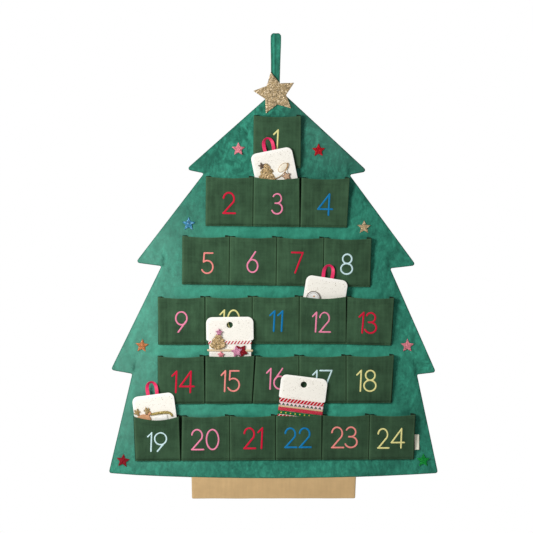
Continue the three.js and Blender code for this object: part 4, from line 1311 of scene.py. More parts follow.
class ADVENT_OT_loop(bpy.types.Operator):
    """Make the velvet hanging loop, folded over the hook"""

    bl_idname = "advent.loop"
    bl_label = "Hanging loop"

    def execute(self, context):
        sizes = context.scene.advent_tree
        stations = loop_stations(sizes.loop_ease)
        path = np.stack([np.full(len(stations), LOOP_X), stations[:, 0], stations[:, 1]], 1)
        across = np.broadcast_to([1.0, 0.0, 0.0], path.shape)
        out = np.cross(unit(np.gradient(path, axis=0)), across)
        sections, creases, lifted = [], [], []
        for width in stations[:, 2]:
            section = flat_section(width, 2.0, 0.8, 16)
            x = section[:, 0]
            # Marks for painted shade in the middle crease and at the strap's edges, and a painted highlight
            # left of the middle.
            crease = np.exp(-(((x + width * 0.02) / 1.2) ** 2))
            section[:, 1] *= 1 - 0.2 * crease
            sections.append(section)
            creases += [*np.clip(crease * 0.6 + (abs(x) / (width / 2)) ** 6 * 0.7, 0, 1)]
            lifted += [*np.exp(-(((x + width * 0.22) / 1.3) ** 2)) * 1.2]
        points, faces, uv = swept(path, across, out, sections)
        marks = {"crease": [*creases, 0, 0], "lifted": [*lifted, 0, 0]}
        finish = velvet_finish("loop_velvet", [c * 1.05 for c in sizes.velvet_colour], sizes.mottle * 0.8)
        loop = make_piece("loop_strap", points, faces, finish, uv=uv, marks=marks)
        settle(loop, "tree", "velvet", "hanging_loop")
        return {"FINISHED"}


class ADVENT_OT_trunk(bpy.types.Operator):
    """Make the canvas trunk, which hangs from the seam at the tree's foot"""

    bl_idname = "advent.trunk"
    bl_label = "Trunk"

    def execute(self, context):
        sizes = context.scene.advent_tree
        half, narrower, foot, tuck = 140.1, 1.2, -789.2, 3.2
        rows, size = 13, 71
        points, folds = [], []
        for share in np.linspace(0, 1, rows):
            for u in np.linspace(-1, 1, size):
                x = u * (half - narrower * share)
                top = bottom_edge(x) + tuck
                z = top + (foot - top) * share + 0.35 * share * ripple(x / 40, 0, 5.0)
                wave = sizes.trunk_wave * share * ripple(x / 60, share, 1.0)
                points.append((x, 0.3 * wave, z + FOOT_SLANT * x))
                folds.append(max(0, share - 0.9) * 4 + max(0, abs(u) - 0.985) * 30)
        worn = srgb(216, 186, 140)
        finish = woven_finish("trunk_canvas", list(sizes.trunk_colour), 0.0011, 0.05, worn=worn)
        marks = {"fold": np.clip(folds, 0, 1)}
        trunk = make_piece("trunk_flap_cloth", points, grid_faces(rows, size), finish, marks=marks)
        thickened(trunk, 0.0026)
        softened(trunk)
        y, seam = 0.0019, bottom_edge(0) * MM
        start, end = (AXIS_X, y, seam + 0.0005), (AXIS_X, y, seam - 0.0042)
        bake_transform(trunk)
        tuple(start)
        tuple(end)
        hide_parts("trunk")
        return {"FINISHED"}


# Pockets


def pocket_sizes(number):
    """Sizes of one pocket, in millimetres."""
    row, gift = row_of(number), number in CARDS
    mouth, bottom = GIFT_DEPTHS if gift else POCKET_DEPTHS
    return {
        "number": number,
        "height": row["height"] + row["sewn"][3],
        "mouth": mouth,
        "bottom": bottom,
        "sag": DEEP_SAGS.get(number, MOUTH_SAG),
        "pleat": 0.36 if gift else 0.52,
        "pulled": PULLED.get(number, (EASED, EASED)),
    }


# How far a pocket's cloth stands off the velvet where its bottom seam presses it flat
SEAM_DEPTH = 2.8


def front_depth(pocket, x, share):
    """How far the pocket's front stands off the velvet at x and a share of the way down."""
    x, share = np.broadcast_arrays(np.asarray(x, float), np.asarray(share, float))
    z = share * pocket["height"]
    flat = np.clip((z - (pocket["height"] - 4.4)) / 3.6, 0, 1)
    flat = flat * flat * (3 - 2 * flat)
    depth = pocket["mouth"] + (pocket["bottom"] - pocket["mouth"]) * share
    depth = depth * (1 - flat) + SEAM_DEPTH * flat
    bulge = BULGE * (1 - (x / POCKET_HALF) ** 2) * (1 - flat)
    seed = pocket["number"] * 7.3
    uneven = np.vectorize(ripple)
    folds = 1.2 * uneven(x / 14, z / 60, seed) + 0.5 * uneven(x / 6, z / 30, seed + 3)
    fade = np.clip(1.15 - (abs(x) / POCKET_HALF) ** 4, 0, 1) * (1 - flat)
    hem = 0.35 * np.clip((9.5 - z) / 0.8, 0, 1)
    return depth + bulge + folds * fade + hem


def droop(pocket, x, share):
    """How far the cloth's front hangs below an even mouth."""
    across = np.clip(np.asarray(x) / POCKET_HALF, -1, 1)
    return pocket["sag"] * (1 - np.asarray(share)) * np.cos(across * pi / 2)


def pocket_point(pocket, x, share, lift):
    """Points a little above the pocket's front, in its own millimetres."""
    depth = front_depth(pocket, x, share) + lift
    return np.stack(np.broadcast_arrays(x, -depth, -share * pocket["height"] - droop(pocket, x, share)), -1)


def pocket_edges(pocket, share):
    """Half-widths of the pocket at the left and right, a share of the way down."""
    return [POCKET_HALF - mouth + (mouth - bottom) * share for mouth, bottom in pocket["pulled"]]


def pocket_section(pocket, share):
    """The cloth's line round the pocket at one level.

    Each point has x, depth, how rubbed it is, how high its pleat stands, and how far inside it lies, which
    sets its painted shade.
    """
    left, right = pocket_edges(pocket, share)
    edges = front_depth(pocket, [3.0 - left, right - 3.0], share)
    fold = 8.5 * (0.25 + 0.75 * max(0.0, 1 - share * 1.05))
    near = pocket["pleat"]
    row = row_of(pocket["number"])
    outermost = {-1: row["first"], 1: row["first"] + row["count"] - 1}
    sides = []
    for side, half, deep, stand in ((-1, left, edges[0], 0.55), (1, right, edges[1], 1.0)):
        seam = POCKET_HALF + 0.26
        if outermost[side] == pocket["number"]:
            seam = min(seam, half + 1.1)
        sides.append([
            (side * seam, 0.35, 0, 0.1 * stand, 1),
            (side * (seam - 0.2), deep * near * 0.3, 0, 0.4 * stand, 1),
            (side * (half - fold * 0.5), deep * near * 0.42, 0, 0.8 * stand, 1),
            (side * (half - fold), deep * near * 0.56, 0, stand, 1),
            (side * (half - fold * 0.5), deep * near * 0.7, 0, 0.8 * stand, 1),
            (side * (half - 0.9), deep * near * 0.86, 0, 0.5 * stand, 1),
            (side * (half - 0.3), deep * (near + 0.25), 0, 0.2 * stand, 0.9),
            (side * half, deep - 1.3, 0.6, 0, 0.45),
            (side * (half - 0.6), deep - 0.3, 1, 0, 0),
            (side * (half - 2.2), deep, 0.25, 0, 0),
        ])
    xs = np.linspace(-left + 5, right - 5, 15)
    middle = [(x, depth, 0, 0, 0) for x, depth in zip(xs, front_depth(pocket, xs, share))]
    return np.array(sides[0] + middle + sides[1][::-1])


def pocket_cloth(pocket, finish, flop):
    """One pocket: a cloth pleated at both sides, hemmed at the mouth and pressed flat at the bottom seam."""
    height = pocket["height"]
    drops = [0, 0.5, 1.4, 3, 5.5, 8.6, 9.6, 11, 15, 20, 26, 33, 40, 47, 54]
    drops = [drop for drop in drops if drop < height - 12]
    drops += [height - up for up in (10, 7, 5, 4, 3.2, 2.4, 1.6, 0.9, 0.3, 0)]
    points, folds, painted_gap_shade = [], [], []
    for n, drop in enumerate([*drops, height]):
        share = drop / height
        line = pocket_section(pocket, share)
        closing = n == len(drops)
        dense = np.empty((2 * len(line) - 1, line.shape[1]))
        dense[::2], dense[1::2] = line, (line[:-1] + line[1:]) / 2
        dense[1:-1] = dense[:-2] * 0.25 + dense[1:-1] * 0.5 + dense[2:] * 0.25
        for x, depth, fold, stand, within in dense:
            front = min(1.0, depth / (pocket["mouth"] * 0.6))
            # Painted shade over the pleats and side walls, fading lower down.
            painted_gap_shade.append(within * (1 - 0.5 * max(0.0, share * 1.6 - 0.6)))
            lift = flop * stand * max(0.0, 1 - drop / 16)
            z = -drop - droop(pocket, x, share) * front + lift
            points.append((x, -(0.45 if closing else depth), z + (0.25 if closing else 0)))
            folds.append(min(1.0, (fold + (0.5 if n < 2 else 0)) * (1 - within)))
    faces = grid_faces(len(drops) + 1, len(dense))[::-1]
    name, matrix = f"pocket_cloth_{two_digits(pocket['number'])}", pocket_matrix(pocket["number"])
    piece = make_piece(name, points, faces, finish, matrix, marks={"fold": folds, "within": painted_gap_shade})
    turn_outwards(piece)
    thickened(piece, 0.0007)
    return piece


def turn_outwards(piece):
    """Turns an open pocket's faces so that its front looks at the viewer."""
    facing = sum(p.normal.y * p.area for p in piece.data.polygons)
    if facing > 0:
        piece.data.flip_normals()


class ADVENT_PG_pockets(bpy.types.PropertyGroup):
    """Sizes and colours of the pockets and what is sewn on them"""

    cloth_colour: FloatVectorProperty(
        name="Pocket cloth", description="Middle tone of the pocket cloth", default=srgb(56, 84, 60), **COLOUR
    )
    edge_colour: FloatVectorProperty(
        name="Worn edges", description="Tone that the folds have worn to", default=srgb(84, 116, 84), **COLOUR
    )
    pleat: FloatProperty(
        name="Pleat", description="How far the side pleats stand above the mouth, in millimetres",
        default=3.0, min=0, max=8,
    )
    stroke: FloatProperty(
        name="Stroke", description="Width of a numeral's stroke, in millimetres", default=2.9, min=1, max=6
    )
    relief: FloatProperty(
        name="Relief", description="Height of the numerals' stitches, in millimetres",
        default=0.7, min=0.2, max=2,
    )
    stitch_length: FloatProperty(
        name="Stitch", description="Length of a seam stitch",
        default=0.0022, min=0.0005, max=0.01, unit="LENGTH",
    )


class ADVENT_OT_pockets(bpy.types.Operator):
    """Make the 24 pleated pockets"""

    bl_idname = "advent.pockets"
    bl_label = "Pockets"

    def execute(self, context):
        sizes = context.scene.advent_pockets
        worn = list(sizes.edge_colour)
        finish = woven_finish("pocket_cloth", list(sizes.cloth_colour), 0.0008, 0.2, 0.6, worn, low=0.24)
        for number in range(1, 25):
            pocket = pocket_sizes(number)
            piece = pocket_cloth(pocket, finish, sizes.pleat)
            settle(piece, "tree", "pocket_cloth", f"pocket_{two_digits(number)}")
            area = sum(p.area for p in piece.data.polygons)
            width = area / (pocket["height"] * MM)
            pocket["height"] * MM
        return {"FINISHED"}


class ADVENT_OT_pocket_stitches(bpy.types.Operator):
    """Sew the pockets' hems and their bottom seams"""

    bl_idname = "advent.pocket_stitches"
    bl_label = "Pocket stitches"

    def execute(self, context):
        sizes = context.scene.advent_pockets
        lines = []
        for number in range(1, 25):
            pocket = pocket_sizes(number)
            for drop in (8.2, pocket["height"] - 4.8):
                share = drop / pocket["height"]
                left, right = pocket_edges(pocket, share)
                line = pocket_point(pocket, np.arange(-left + 2.5, right - 2.5, 2.5), share, 0.3)
                lines.append([pocket_matrix(number) @ Vector(p) for p in line])
        finish = thread_finish("pocket_thread", srgb(44, 68, 48))
        stitched("pocket_stitches", lines, finish, "pocket_cloth", 0.0029, sizes.stitch_length, 0.00045)
        return {"FINISHED"}


# Numerals

# Strokes of each digit in a box one wide and one high, and the digit's width in millimetres
DIGITS = {
    "0": (20.5, [arc(0.5, 0.5, 0.5, 0.5, 90, 450, 44)]),
    "1": (7.8, [[(0.0, 0.79), (0.96, 1.0)], [(0.96, 1.0), (0.74, 0.0)]]),
    "2": (20, [arc(0.46, 0.70, 0.44, 0.30, 172, -32) + [(0.03, 0.0)], [(0.0, 0.0), (1.0, 0.0)]]),
    "3": (
        17.8,
        [arc(0.42, 0.765, 0.46, 0.235, 155, -88) + [(0.22, 0.53)], arc(0.42, 0.265, 0.58, 0.265, 88, -158)],
    ),
    "4": (24, [[(0.8, 1.0), (0.0, 0.28)], [(0.0, 0.28), (1.0, 0.28)], [(0.8, 1.0), (0.74, 0.0)]]),
    "5": (20.5, [[(0.95, 1), (0.16, 1)], [(0.16, 1), (0.1, 0.56)], arc(0.44, 0.32, 0.54, 0.31, 128, -152)]),
    "6": (20, [[(0.76, 1.0), (0.07, 0.45)] + arc(0.5, 0.31, 0.5, 0.31, 152, 512, 40)]),
    "7": (21, [[(0.0, 1.0), (1.0, 1.0)], [(1.0, 1.0), (0.32, 0.0)]]),
    "8": (20, [arc(0.52, 0.765, 0.41, 0.235, -90, 270, 40), arc(0.48, 0.265, 0.52, 0.265, 90, 450, 40)]),
    "9": (22, [arc(0.5, 0.68, 0.5, 0.32, -22, 338, 40) + [(0.22, 0.0)]]),
}
DIGIT_GAP = 5.2


def stroke_mesh(pocket, path, width, relief):
    """One satin stroke along a path of x and z on the pocket's front, with round ends."""
    path = even_path(path, 0.9)
    half = width / 2
    reach = half * np.array([[1.0], [0.86], [0.5]])
    first, last = unit(np.array([path[1] - path[0], path[-1] - path[-2]]))
    path = np.concatenate([path[0] - first * reach, path, path[-1] + last * reach[::-1]])
    ends = [0.12, 0.5, 0.86]
    scale = np.concatenate([ends, np.ones(len(path) - 6), ends[::-1]])
    depth = front_depth(pocket, path[:, 0], np.clip(-path[:, 1] / pocket["height"], 0, 1))
    spine = np.stack([path[:, 0], -depth - 0.32, path[:, 1]], 1)
    ahead = unit(np.gradient(path, axis=0))
    across = np.stack([ahead[:, 1], np.zeros(len(path)), -ahead[:, 0]], 1)
    out = np.broadcast_to([0.0, -1.0, 0.0], spine.shape)
    top = [(half * cos(a), relief * sin(a)) for a in np.linspace(0, pi, 8)]
    return swept(spine, across, out, top, scale)


def numeral(number, sizes, finish):
    """One embroidered number, fitted to its measured width and height."""
    dx, dz, width, height, tone = NUMERALS[number]
    digits, pocket = str(number), pocket_sizes(number)
    stroke = sizes.stroke * (1.15 if tone in ("red", "blue") else 1.0)
    natural = sum(DIGITS[d][0] for d in digits) + DIGIT_GAP * (len(digits) - 1)
    stretch, tall = (width - stroke) / natural, height - stroke
    left = dx - (width - stroke) / 2
    points, faces, uvs = [], [], []
    for digit in digits:
        wide = DIGITS[digit][0] * stretch
        for path in DIGITS[digit][1]:
            placed = [(left + x * wide, dz - tall / 2 + z * tall) for x, z in path]
            more_points, more_faces, uv = stroke_mesh(pocket, placed, stroke, sizes.relief)
            faces += [tuple(i + len(points) for i in face) for face in more_faces]
            points += [*more_points]
            uvs += [*uv]
        left += wide + DIGIT_GAP * stretch
    name = f"numeral_{two_digits(number)}"
    piece = make_piece(name, points, faces, finish, pocket_matrix(number), uv=uvs)
    return settle(piece, "tree", f"thread_{tone}")


class ADVENT_OT_numerals(bpy.types.Operator):
    """Embroider the numbers 1 to 24"""

    bl_idname = "advent.numerals"
    bl_label = "Numerals"

    def execute(self, context):
        colours = {
            "red": srgb(204, 8, 54),
            "pink": srgb(240, 136, 168),
            "coral": srgb(242, 142, 134),
            "blue": srgb(0, 116, 172),
            "ice": srgb(204, 232, 236),
            "yellow": srgb(232, 224, 150),
        }
        finishes = {tone: thread_finish(f"thread_{tone}", colour) for tone, colour in colours.items()}
        for number, (*_, tone) in NUMERALS.items():
            numeral(number, context.scene.advent_pockets, finishes[tone])
        return {"FINISHED"}


# Stars and label

# Colour, size of a flake in metres, and how metallic it is
GLITTERS = {
    "gold_glitter": (srgb(168, 144, 102), 0.0015, 0.7),
    "champagne_glitter": (srgb(186, 158, 108), 0.0017, 0.6),
    "pink_glitter": (srgb(222, 132, 142), 0.0009, 0.25),
    "rose_glitter": (srgb(208, 138, 166), 0.0012, 0.3),
    "red_glitter": (srgb(172, 4, 22), 0.0009, 0.25),
    "blue_sequin": (srgb(8, 112, 150), 0.0024, 0.5),
    "bronze_glitter": (srgb(164, 136, 82), 0.0014, 0.5),
    "copper_glitter": (srgb(180, 106, 46), 0.0009, 0.4),
    "dark_red_glitter": (srgb(132, 4, 22), 0.0009, 0.2),
    "green_glitter": (srgb(2, 140, 52), 0.0009, 0.2),
    "olive_glitter": (srgb(170, 148, 72), 0.0013, 0.6),
}
@cache
def glitter(slot):
    """The one finish of each glitter."""
    return glitter_finish(slot, *GLITTERS[slot])


class ADVENT_PG_stars(bpy.types.PropertyGroup):
    """Sizes of the glitter stars"""

    flake: FloatProperty(
        name="Flake", description="Radius of a glitter flake",
        default=0.0005, min=0.0001, max=0.003, unit="LENGTH",
    )
    density: FloatProperty(
        name="Flakes", description="Flakes on a square metre", default=520000, min=0, max=2000000
    )
    crust: FloatProperty(
        name="Crust", description="Height of the glitter's lumps, in millimetres", default=0.16, min=0, max=1
    )
    seed: IntProperty(name="Seed", description="Where the flakes fall", default=11, min=0)


class ADVENT_OT_stars(bpy.types.Operator):
    """Make the top star and the eight small stars"""

    bl_idname = "advent.stars"
    bl_label = "Stars"

    def execute(self, context):
        sizes = context.scene.advent_stars
        x, z, *shape = TOP_STAR
        at = TREE @ Matrix.Translation((x, FRONT_Y - GAP, z))
        gold, outline = glitter("gold_glitter"), star_outline(*shape, 0.4)
        star = raised_plate("glitter_top_star", outline, 2.3, gold, at, 0, 0.45, 0.5, sizes.crust, 1.9)
        flaked(star, gold, sizes.flake * 1.15, sizes.density, 0.55, sizes.seed)
        settle(star, "tree", "gold_glitter", "top_star")
        for n, (node, (x, z, turn, slot)) in enumerate(SMALL_STARS.items(), 1):
            at = TREE @ Matrix.Translation((x, FRONT_Y - GAP, z))
            outline, name, paint = star_outline(*SMALL_STAR, turn, 0.3), f"glitter_{node}", glitter(slot)
            star = raised_plate(name, outline, 1.4, paint, at, 0, 0.3, 0.25, sizes.crust, 1.3, seed=n + 1)
            larger, sparser = (2.1, 0.3) if slot == "blue_sequin" else (0.9, 1.2)
            flaked(star, paint, sizes.flake * larger, sizes.density * sparser, 0.5, sizes.seed + n)
            settle(star, "tree", slot, node)
        return {"FINISHED"}


class ADVENT_OT_label(bpy.types.Operator):
    """Make the bare folded tape in the last pocket's side seam"""

    bl_idname = "advent.label"
    bl_label = "Label tape"

    def execute(self, context):
        row = ROWS[-1]
        line = [(-0.2, -0.6), (2.2, -0.6), (4.6, -0.75), (6.6, -0.6)]
        line += arc(6.9, -0.05, 0.55, 0.55, -60, 60, 3) + [(6.6, 0.45), (4.6, 0.6), (2.2, 0.5), (-0.2, 0.5)]
        plan = smooth_path([(x + row["count"] * PITCH / 2 - 2.6, y - 0.75) for x, y in line], 0.5)
        middle, tall, levels = -47, 26.0, 18
        run = run_lengths(plan)
        points, uv = [], []
        for j in range(levels + 1):
            z = middle + tall / 2 - tall * j / levels
            for k, (x, y) in enumerate(plan):
                points.append((x, y + 0.12 * sin(j * 0.5 + k * 0.2), z))
                uv.append((run[k] * MM, z * MM))
        finish = woven_finish("label_tape", srgb(252, 246, 226), 0.0006, 0.05, rough=0.7, sheen=0.15)
        faces = grid_faces(levels + 1, len(plan))
        tape = make_piece("side_label", points, faces, finish, row_matrix(row), uv=uv)
        turn_outwards(tape)
        thickened(tape, 0.0004)
        settle(tape, "tree", "label_tape", "label_tab")
        return {"FINISHED"}


# Gift cards


def rounded_outline(left, right, bottom, top, radius, steps=7):
    """A rectangle with rounded corners."""
    left, right, bottom, top = left + radius, right - radius, bottom + radius, top - radius
    outline = []
    for x, z, first in ((right, bottom, -90), (right, top, 0), (left, top, 90), (left, bottom, 180)):
        outline += arc(x, z, radius, radius, first, first + 90, steps)
    return np.array(outline)


def card_outline(card):
    """A plain card, or one with a wider head over its hair ties."""
    half, height = card["width"] / 2, card["height"]
    if not card["flare"]:
        return rounded_outline(-half, half, -height, 0, 10)
    wide, drop, small = half + card["flare"] / 2, 40, 2
    outline = [(-half + small, -height), (half - small, -height), (half, -height + small)]
    outline += [(half, -drop), (wide - small, -drop), (wide, -drop + small)]
    outline += arc(wide - 10, -10, 10, 10, 0, 90, 7) + arc(-wide + 10, -10, 10, 10, 90, 180, 7)
    outline += [(-wide, -drop + small), (-wide + small, -drop), (-half, -drop), (-half, -height + small)]
    return np.array(outline)


class ADVENT_PG_gifts(bpy.types.PropertyGroup):
    """Colours and sizes of the gift cards, ribbons and hair things"""

    board_colour: FloatVectorProperty(
        name="Board", description="Ground of the gift cards", default=srgb(247, 243, 233), **COLOUR
    )
    ribbon_colour: FloatVectorProperty(
        name="Ribbon", description="Ribbon loops", default=srgb(224, 28, 92), **COLOUR
    )
    gilt_colour: FloatVectorProperty(
        name="Gilt", description="Edging of the clips", default=srgb(170, 134, 84), **COLOUR
    )
    rim: FloatProperty(
        name="Rim", description="Width of a card's paler rim, in millimetres", default=1.6, min=0, max=6
    )
    ribbon_thick: FloatProperty(
        name="Ribbon ply", description="Thickness of the ribbon, in millimetres", default=0.45, min=0.1, max=1
    )
    tail: FloatProperty(
        name="Ribbon tail", description="How far the ribbon runs down behind its card, in millimetres",
        default=7.0, min=0, max=20,
    )


class ADVENT_OT_cards(bpy.types.Operator):
    """Make the five bare speckled gift cards"""

    bl_idname = "advent.cards"
    bl_label = "Gift cards"

    def execute(self, context):
        sizes = context.scene.advent_gifts
        finish = card_finish("card_board", list(sizes.board_colour))
        for number, card in CARDS.items():
            name, thick, at = two_digits(number), CARD_BOARD, card_matrix(number)
            hole = arc(0, -13.5, 5.3, 5.3, 0, 350, 35) if card["flare"] else None
            more = {"spacing": 6, "rim": sizes.rim, "hole": hole}
            outline = card_outline(card)
            board = raised_plate(f"board_{name}", outline, thick, finish, at, thick / 2, 0.12, **more)
            settle(board, f"card_{name}", "gift_card", f"gift_card_{name}")
        return {"FINISHED"}


# Half the distance between a ribbon's feet, and how high its loop stands over the card
RIBBON_FOOT = 7.5
RIBBON_RISE = 21


def ribbon_middle(angle):
    """The ribbon loop's middle line, seen from the front: wider at its top than at its feet."""
    rise = max(sin(angle), 0)
    return Vector((-RIBBON_FOOT * (1 + 0.35 * rise) * cos(angle), RIBBON_RISE * rise**0.8))


def ribbon_path(tail):
    """Points of a ribbon loop, up from behind its card and down again, with the directions across and out."""
    behind, foot, steps = CARD_BOARD / 2 + 0.35, -0.6, 40
    forwards = Vector((0, -1, 0))
    tilt = Matrix.Rotation(-radians(10.5), 3, "X")
    drops = np.linspace(-tail, foot, 6)
    path = [((-RIBBON_FOOT, behind, drop), (1, 0, 0), forwards) for drop in drops]
    for k in range(steps + 1):
        angle = pi * k / steps
        middle = ribbon_middle(angle)
        ahead = Vector((0, 1 if k == 0 else -1))
        if 0 < k < steps:
            ahead = (ribbon_middle(angle + 0.004) - ribbon_middle(angle - 0.004)).normalized()
        rise = sin(angle)
        turn = radians(58) * min(1, (rise**2.2) * 1.08)
        side = Vector((ahead.y, 0, -ahead.x))
        across = side * cos(turn) - forwards * sin(turn)
        out = forwards * cos(turn) + side * sin(turn)
        back = 0.35 * cos(angle) * (1 - rise)
        point = Vector((middle.x, behind * max(0, 1 - middle.y / 5) - back, middle.y + 0.3))
        path.append((tilt @ point, tilt @ across, tilt @ out))
    path += [((RIBBON_FOOT, behind + 0.05, drop), (-1, 0, 0), forwards) for drop in drops[::-1]]
    return [np.array([tuple(vector) for vector in vectors]) for vectors in zip(*path)]


class ADVENT_OT_ribbons(bpy.types.Operator):
    """Make the ribbon loops, fixed behind their cards"""

    bl_idname = "advent.ribbons"
    bl_label = "Ribbon loops"

    def execute(self, context):
        sizes = context.scene.advent_gifts
        finish = ribbon_finish("ribbon_satin", list(sizes.ribbon_colour))
        path, across, out = ribbon_path(sizes.tail)
        section = flat_section(6, sizes.ribbon_thick, 0.2, 8)
        for number in (3, 12, 19):
            shift = (-2 if number == 3 else 0, 0, 0)
            points, faces, uv = swept(path + shift, across, out, section)
            name = two_digits(number)
            at = card_matrix(number)
            ribbon = make_piece(f"ribbon_{name}_satin", points, faces, finish, at, uv=uv)
            start, end = at @ Vector((0, 0, -0.8)), at @ Vector((0, 0, 2.5))
            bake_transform(ribbon)
            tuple(start)
            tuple(end)
            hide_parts(f"ribbon_loop_{name}")
        return {"FINISHED"}


def fir_outline(width, height, seed):
    """A ragged fir of three full, drooping, uneven tiers, its foot at the origin."""
    right = [(0.12, 0), (0.34, 0.02), (0.86, 0.12), (1.0, 0.28), (0.9, 0.39), (0.68, 0.5), (0.76, 0.56)]
    right += [(0.62, 0.68), (0.42, 0.76), (0.44, 0.83), (0.24, 0.93), (0.08, 1.0)]
    corners = [*right, *[(-x, z) for x, z in reversed(right)]]
    line = smooth_path([(x * width / 2, z * height) for x, z in corners], 1.0, closed=True)[:-1]
    for i, (x, z) in enumerate(line / 1.7):
        line[i] += 1.3 * np.array([ripple(x, z, seed), ripple(x, z, seed + 5)])
    return anticlockwise(line)


def outline_tube(outline, width, finish, number, y, closed=True):
    """A gilt or thread edging along an outline, at y in front of a card."""
    line = np.asarray(outline, float)
    line = np.concatenate([line, line[:1]]) if closed else line
    path = even_path(np.insert(line, 1, y, axis=1), 0.8)
    across, out = path_frames(path, (0, -1, 0))
    points, faces, uv = swept(path, across, out, round_section(width, width, 8), closed=closed)
    return make_piece("edging", points, faces, finish, card_matrix(number), uv=uv, weld=closed)


def turned(outline, x, z, degrees=0.0):
    """An outline turned about the origin and moved."""
    a = radians(degrees)
    spin = np.array([[cos(a), sin(a)], [-sin(a), cos(a)]])
    return np.asarray(outline, float) @ spin + np.array([x, z])


# Where a clip's back lies on its card, and how close together the clips' flakes are
CLIP_Y = -CARD_BOARD / 2 - GAP
THICK_FLAKES = 900000.0


def relief(number, outline, thickness, finish, bevel, crown, spacing, rough=0.0, front=0.0, seed=0):
    """One raised part of a clip or charm, on the face of a card."""
    at, base = card_matrix(number), CLIP_Y - front
    return raised_plate("part", outline, thickness, finish, at, base, bevel, crown, rough, spacing, seed=seed)


def clip_on(number, kind, parts, slot, node):
    """Parts of one clip, made one piece that rides on its card."""
    name = two_digits(number)
    settle(joined(f"clip_{name}_{kind}", parts), f"card_{name}", slot, f"card_{name}_{node}")


def fir_clip(number, fir, star, star_finish, front=0.0):
    """A shaggy champagne fir with a star on top, on a card."""
    shaggy = glitter("champagne_glitter")
    x, z, width, height, turn = fir
    outline = turned(fir_outline(width, height, number), x, z, turn)
    tree = relief(number, outline, 1.9, shaggy, 0.5, 0.7, 1.1, 0.8, front, number)
    flaked(tree, shaggy, 0.0009, THICK_FLAKES, 0.9, number)
    x, z, radius, inner, turn = star
    outline = turned(star_outline(radius, inner, 0, 0.3), x, z, turn)
    top = relief(number, outline, 2.7, star_finish, 0.4, 0.3, 1.5, front=front)
    clip_on(number, "fir", [tree, top], "gold_glitter", "fir_clip")


def snap_clip_03(gilt):
    """A cream snap clip with a leaf and a star at its right end."""
    cream = enamel_finish("cream_enamel", srgb(240, 231, 210))
    pale = enamel_finish("pale_enamel", srgb(250, 247, 238))
    brown = metal_finish("brown_gilt", srgb(112, 84, 58))
    blush = felt_finish("blush_felt", srgb(206, 170, 138))
    arch = smooth_path([(-6, -50), (3, -47.5), (12, -43.5), (20, -36.5), (24.5, -29.5), (23.5, -26)], 0.8)
    leaf = turned(arc(0, 0, 9.6, 5.2, 0, 350, 36), 14.5, -32.5, 36)
    star = turned(star_outline(7.4, 4.0, 8, 0.4), 17.5, -48)
    parts = [
        relief(3, turned(rounded_outline(-14, 14, -5.2, 5.2, 3), 7, -41.5, 6), 1.7, pale, 0.6, 0.5, 2),
        outline_tube(arch, 1.2, gilt, 3, CLIP_Y - 2.0, closed=False),
        relief(3, leaf, 2.3, cream, 0.6, 0.5, 1.6),
        outline_tube(leaf, 0.8, gilt, 3, CLIP_Y - 2.2),
        relief(3, star, 2.5, blush, 0.4, 0.3, 1.4),
        outline_tube(star, 1.2, brown, 3, CLIP_Y - 2.3),
    ]
    clip_on(3, "snap", parts, "cream_clip", "snap_clip")


def disc_clip_12():
    """A white felt disc with a grey rim and an amber bead, and the blush clip's end beside it."""
    felt = felt_finish("snow_felt", srgb(244, 241, 236))
    rim = felt_finish("bark_felt", srgb(142, 134, 126))
    amber = felt_finish("amber_felt", srgb(206, 138, 72))
    pale = felt_finish("pale_felt", srgb(246, 226, 222))
    disc, outer, inner = (turned(arc(0, 0, r, r, 0, 352, 44), -18.8, -37.4) for r in (12, 11, 8.6))
    parts = [
        relief(12, disc, 2.3, felt, 0.7, 0.5, 1.8, 0.15),
        outline_tube(outer, 2.0, rim, 12, CLIP_Y - 1.9),
        outline_tube(inner, 0.8, rim, 12, CLIP_Y - 2.4),
        relief(12, turned(arc(0, 0, 1.5, 1.5, 0, 340, 17), -17.8, -34.4), 3.2, amber, 0.7, 0.4, 0.8),
        relief(12, turned(rounded_outline(-6, 10, -4, 2.6, 2), 12, -37.5, -4), 1.6, pale, 0.6, 0.3, 1.6),
    ]
    clip_on(12, "disc", parts, "snow_clip", "disc_clip")


def antler_outline(side):
    """A lobed antler, its foot at the origin, leaning outwards."""
    lobes = [(-1.6, 0), (-2.4, 3.2), (-5.4, 3.6), (-5.8, 6.0), (-3.4, 6.4), (-4.4, 9.6), (-2.2, 10.6)]
    lobes += [(-0.6, 7.8), (1.2, 11.2), (3.2, 10.0), (2.2, 6.8), (4.6, 6.6), (4.8, 4.2), (2.0, 3.6), (1.6, 0)]
    return anticlockwise(smooth_path([(x * side, z) for x, z in lobes], 0.9, closed=True)[:-1])


def antler_clip_19():
    """A tan head with two glittery antlers and an ear."""
    fur, bronze = felt_finish("tan_felt", srgb(206, 152, 110)), glitter("bronze_glitter")
    parts = [relief(19, turned(arc(0, 0, 12.5, 9, 0, 350, 35), -20.5, -40.2), 2.6, fur, 0.9, 0.7, 1.5, 0.1)]
    for side, x, z, lean in ((1, -28.3, -31.8, 12), (-1, -14.6, -31.4, -14)):
        horn = relief(19, turned(antler_outline(side), x, z, lean), 2.1, bronze, 0.5, 0.4, 1.0, 0.3)
        parts.append(flaked(horn, bronze, 0.0007, THICK_FLAKES, 0.8, 3 + side))
    parts.append(relief(19, turned(arc(0, 0, 3.8, 2.2, 0, 340, 17), -9.2, -31.6, 42), 2.4, fur, 0.5, 0.2, 1))
    clip_on(19, "antlers", parts, "tan_clip", "antler_clip")


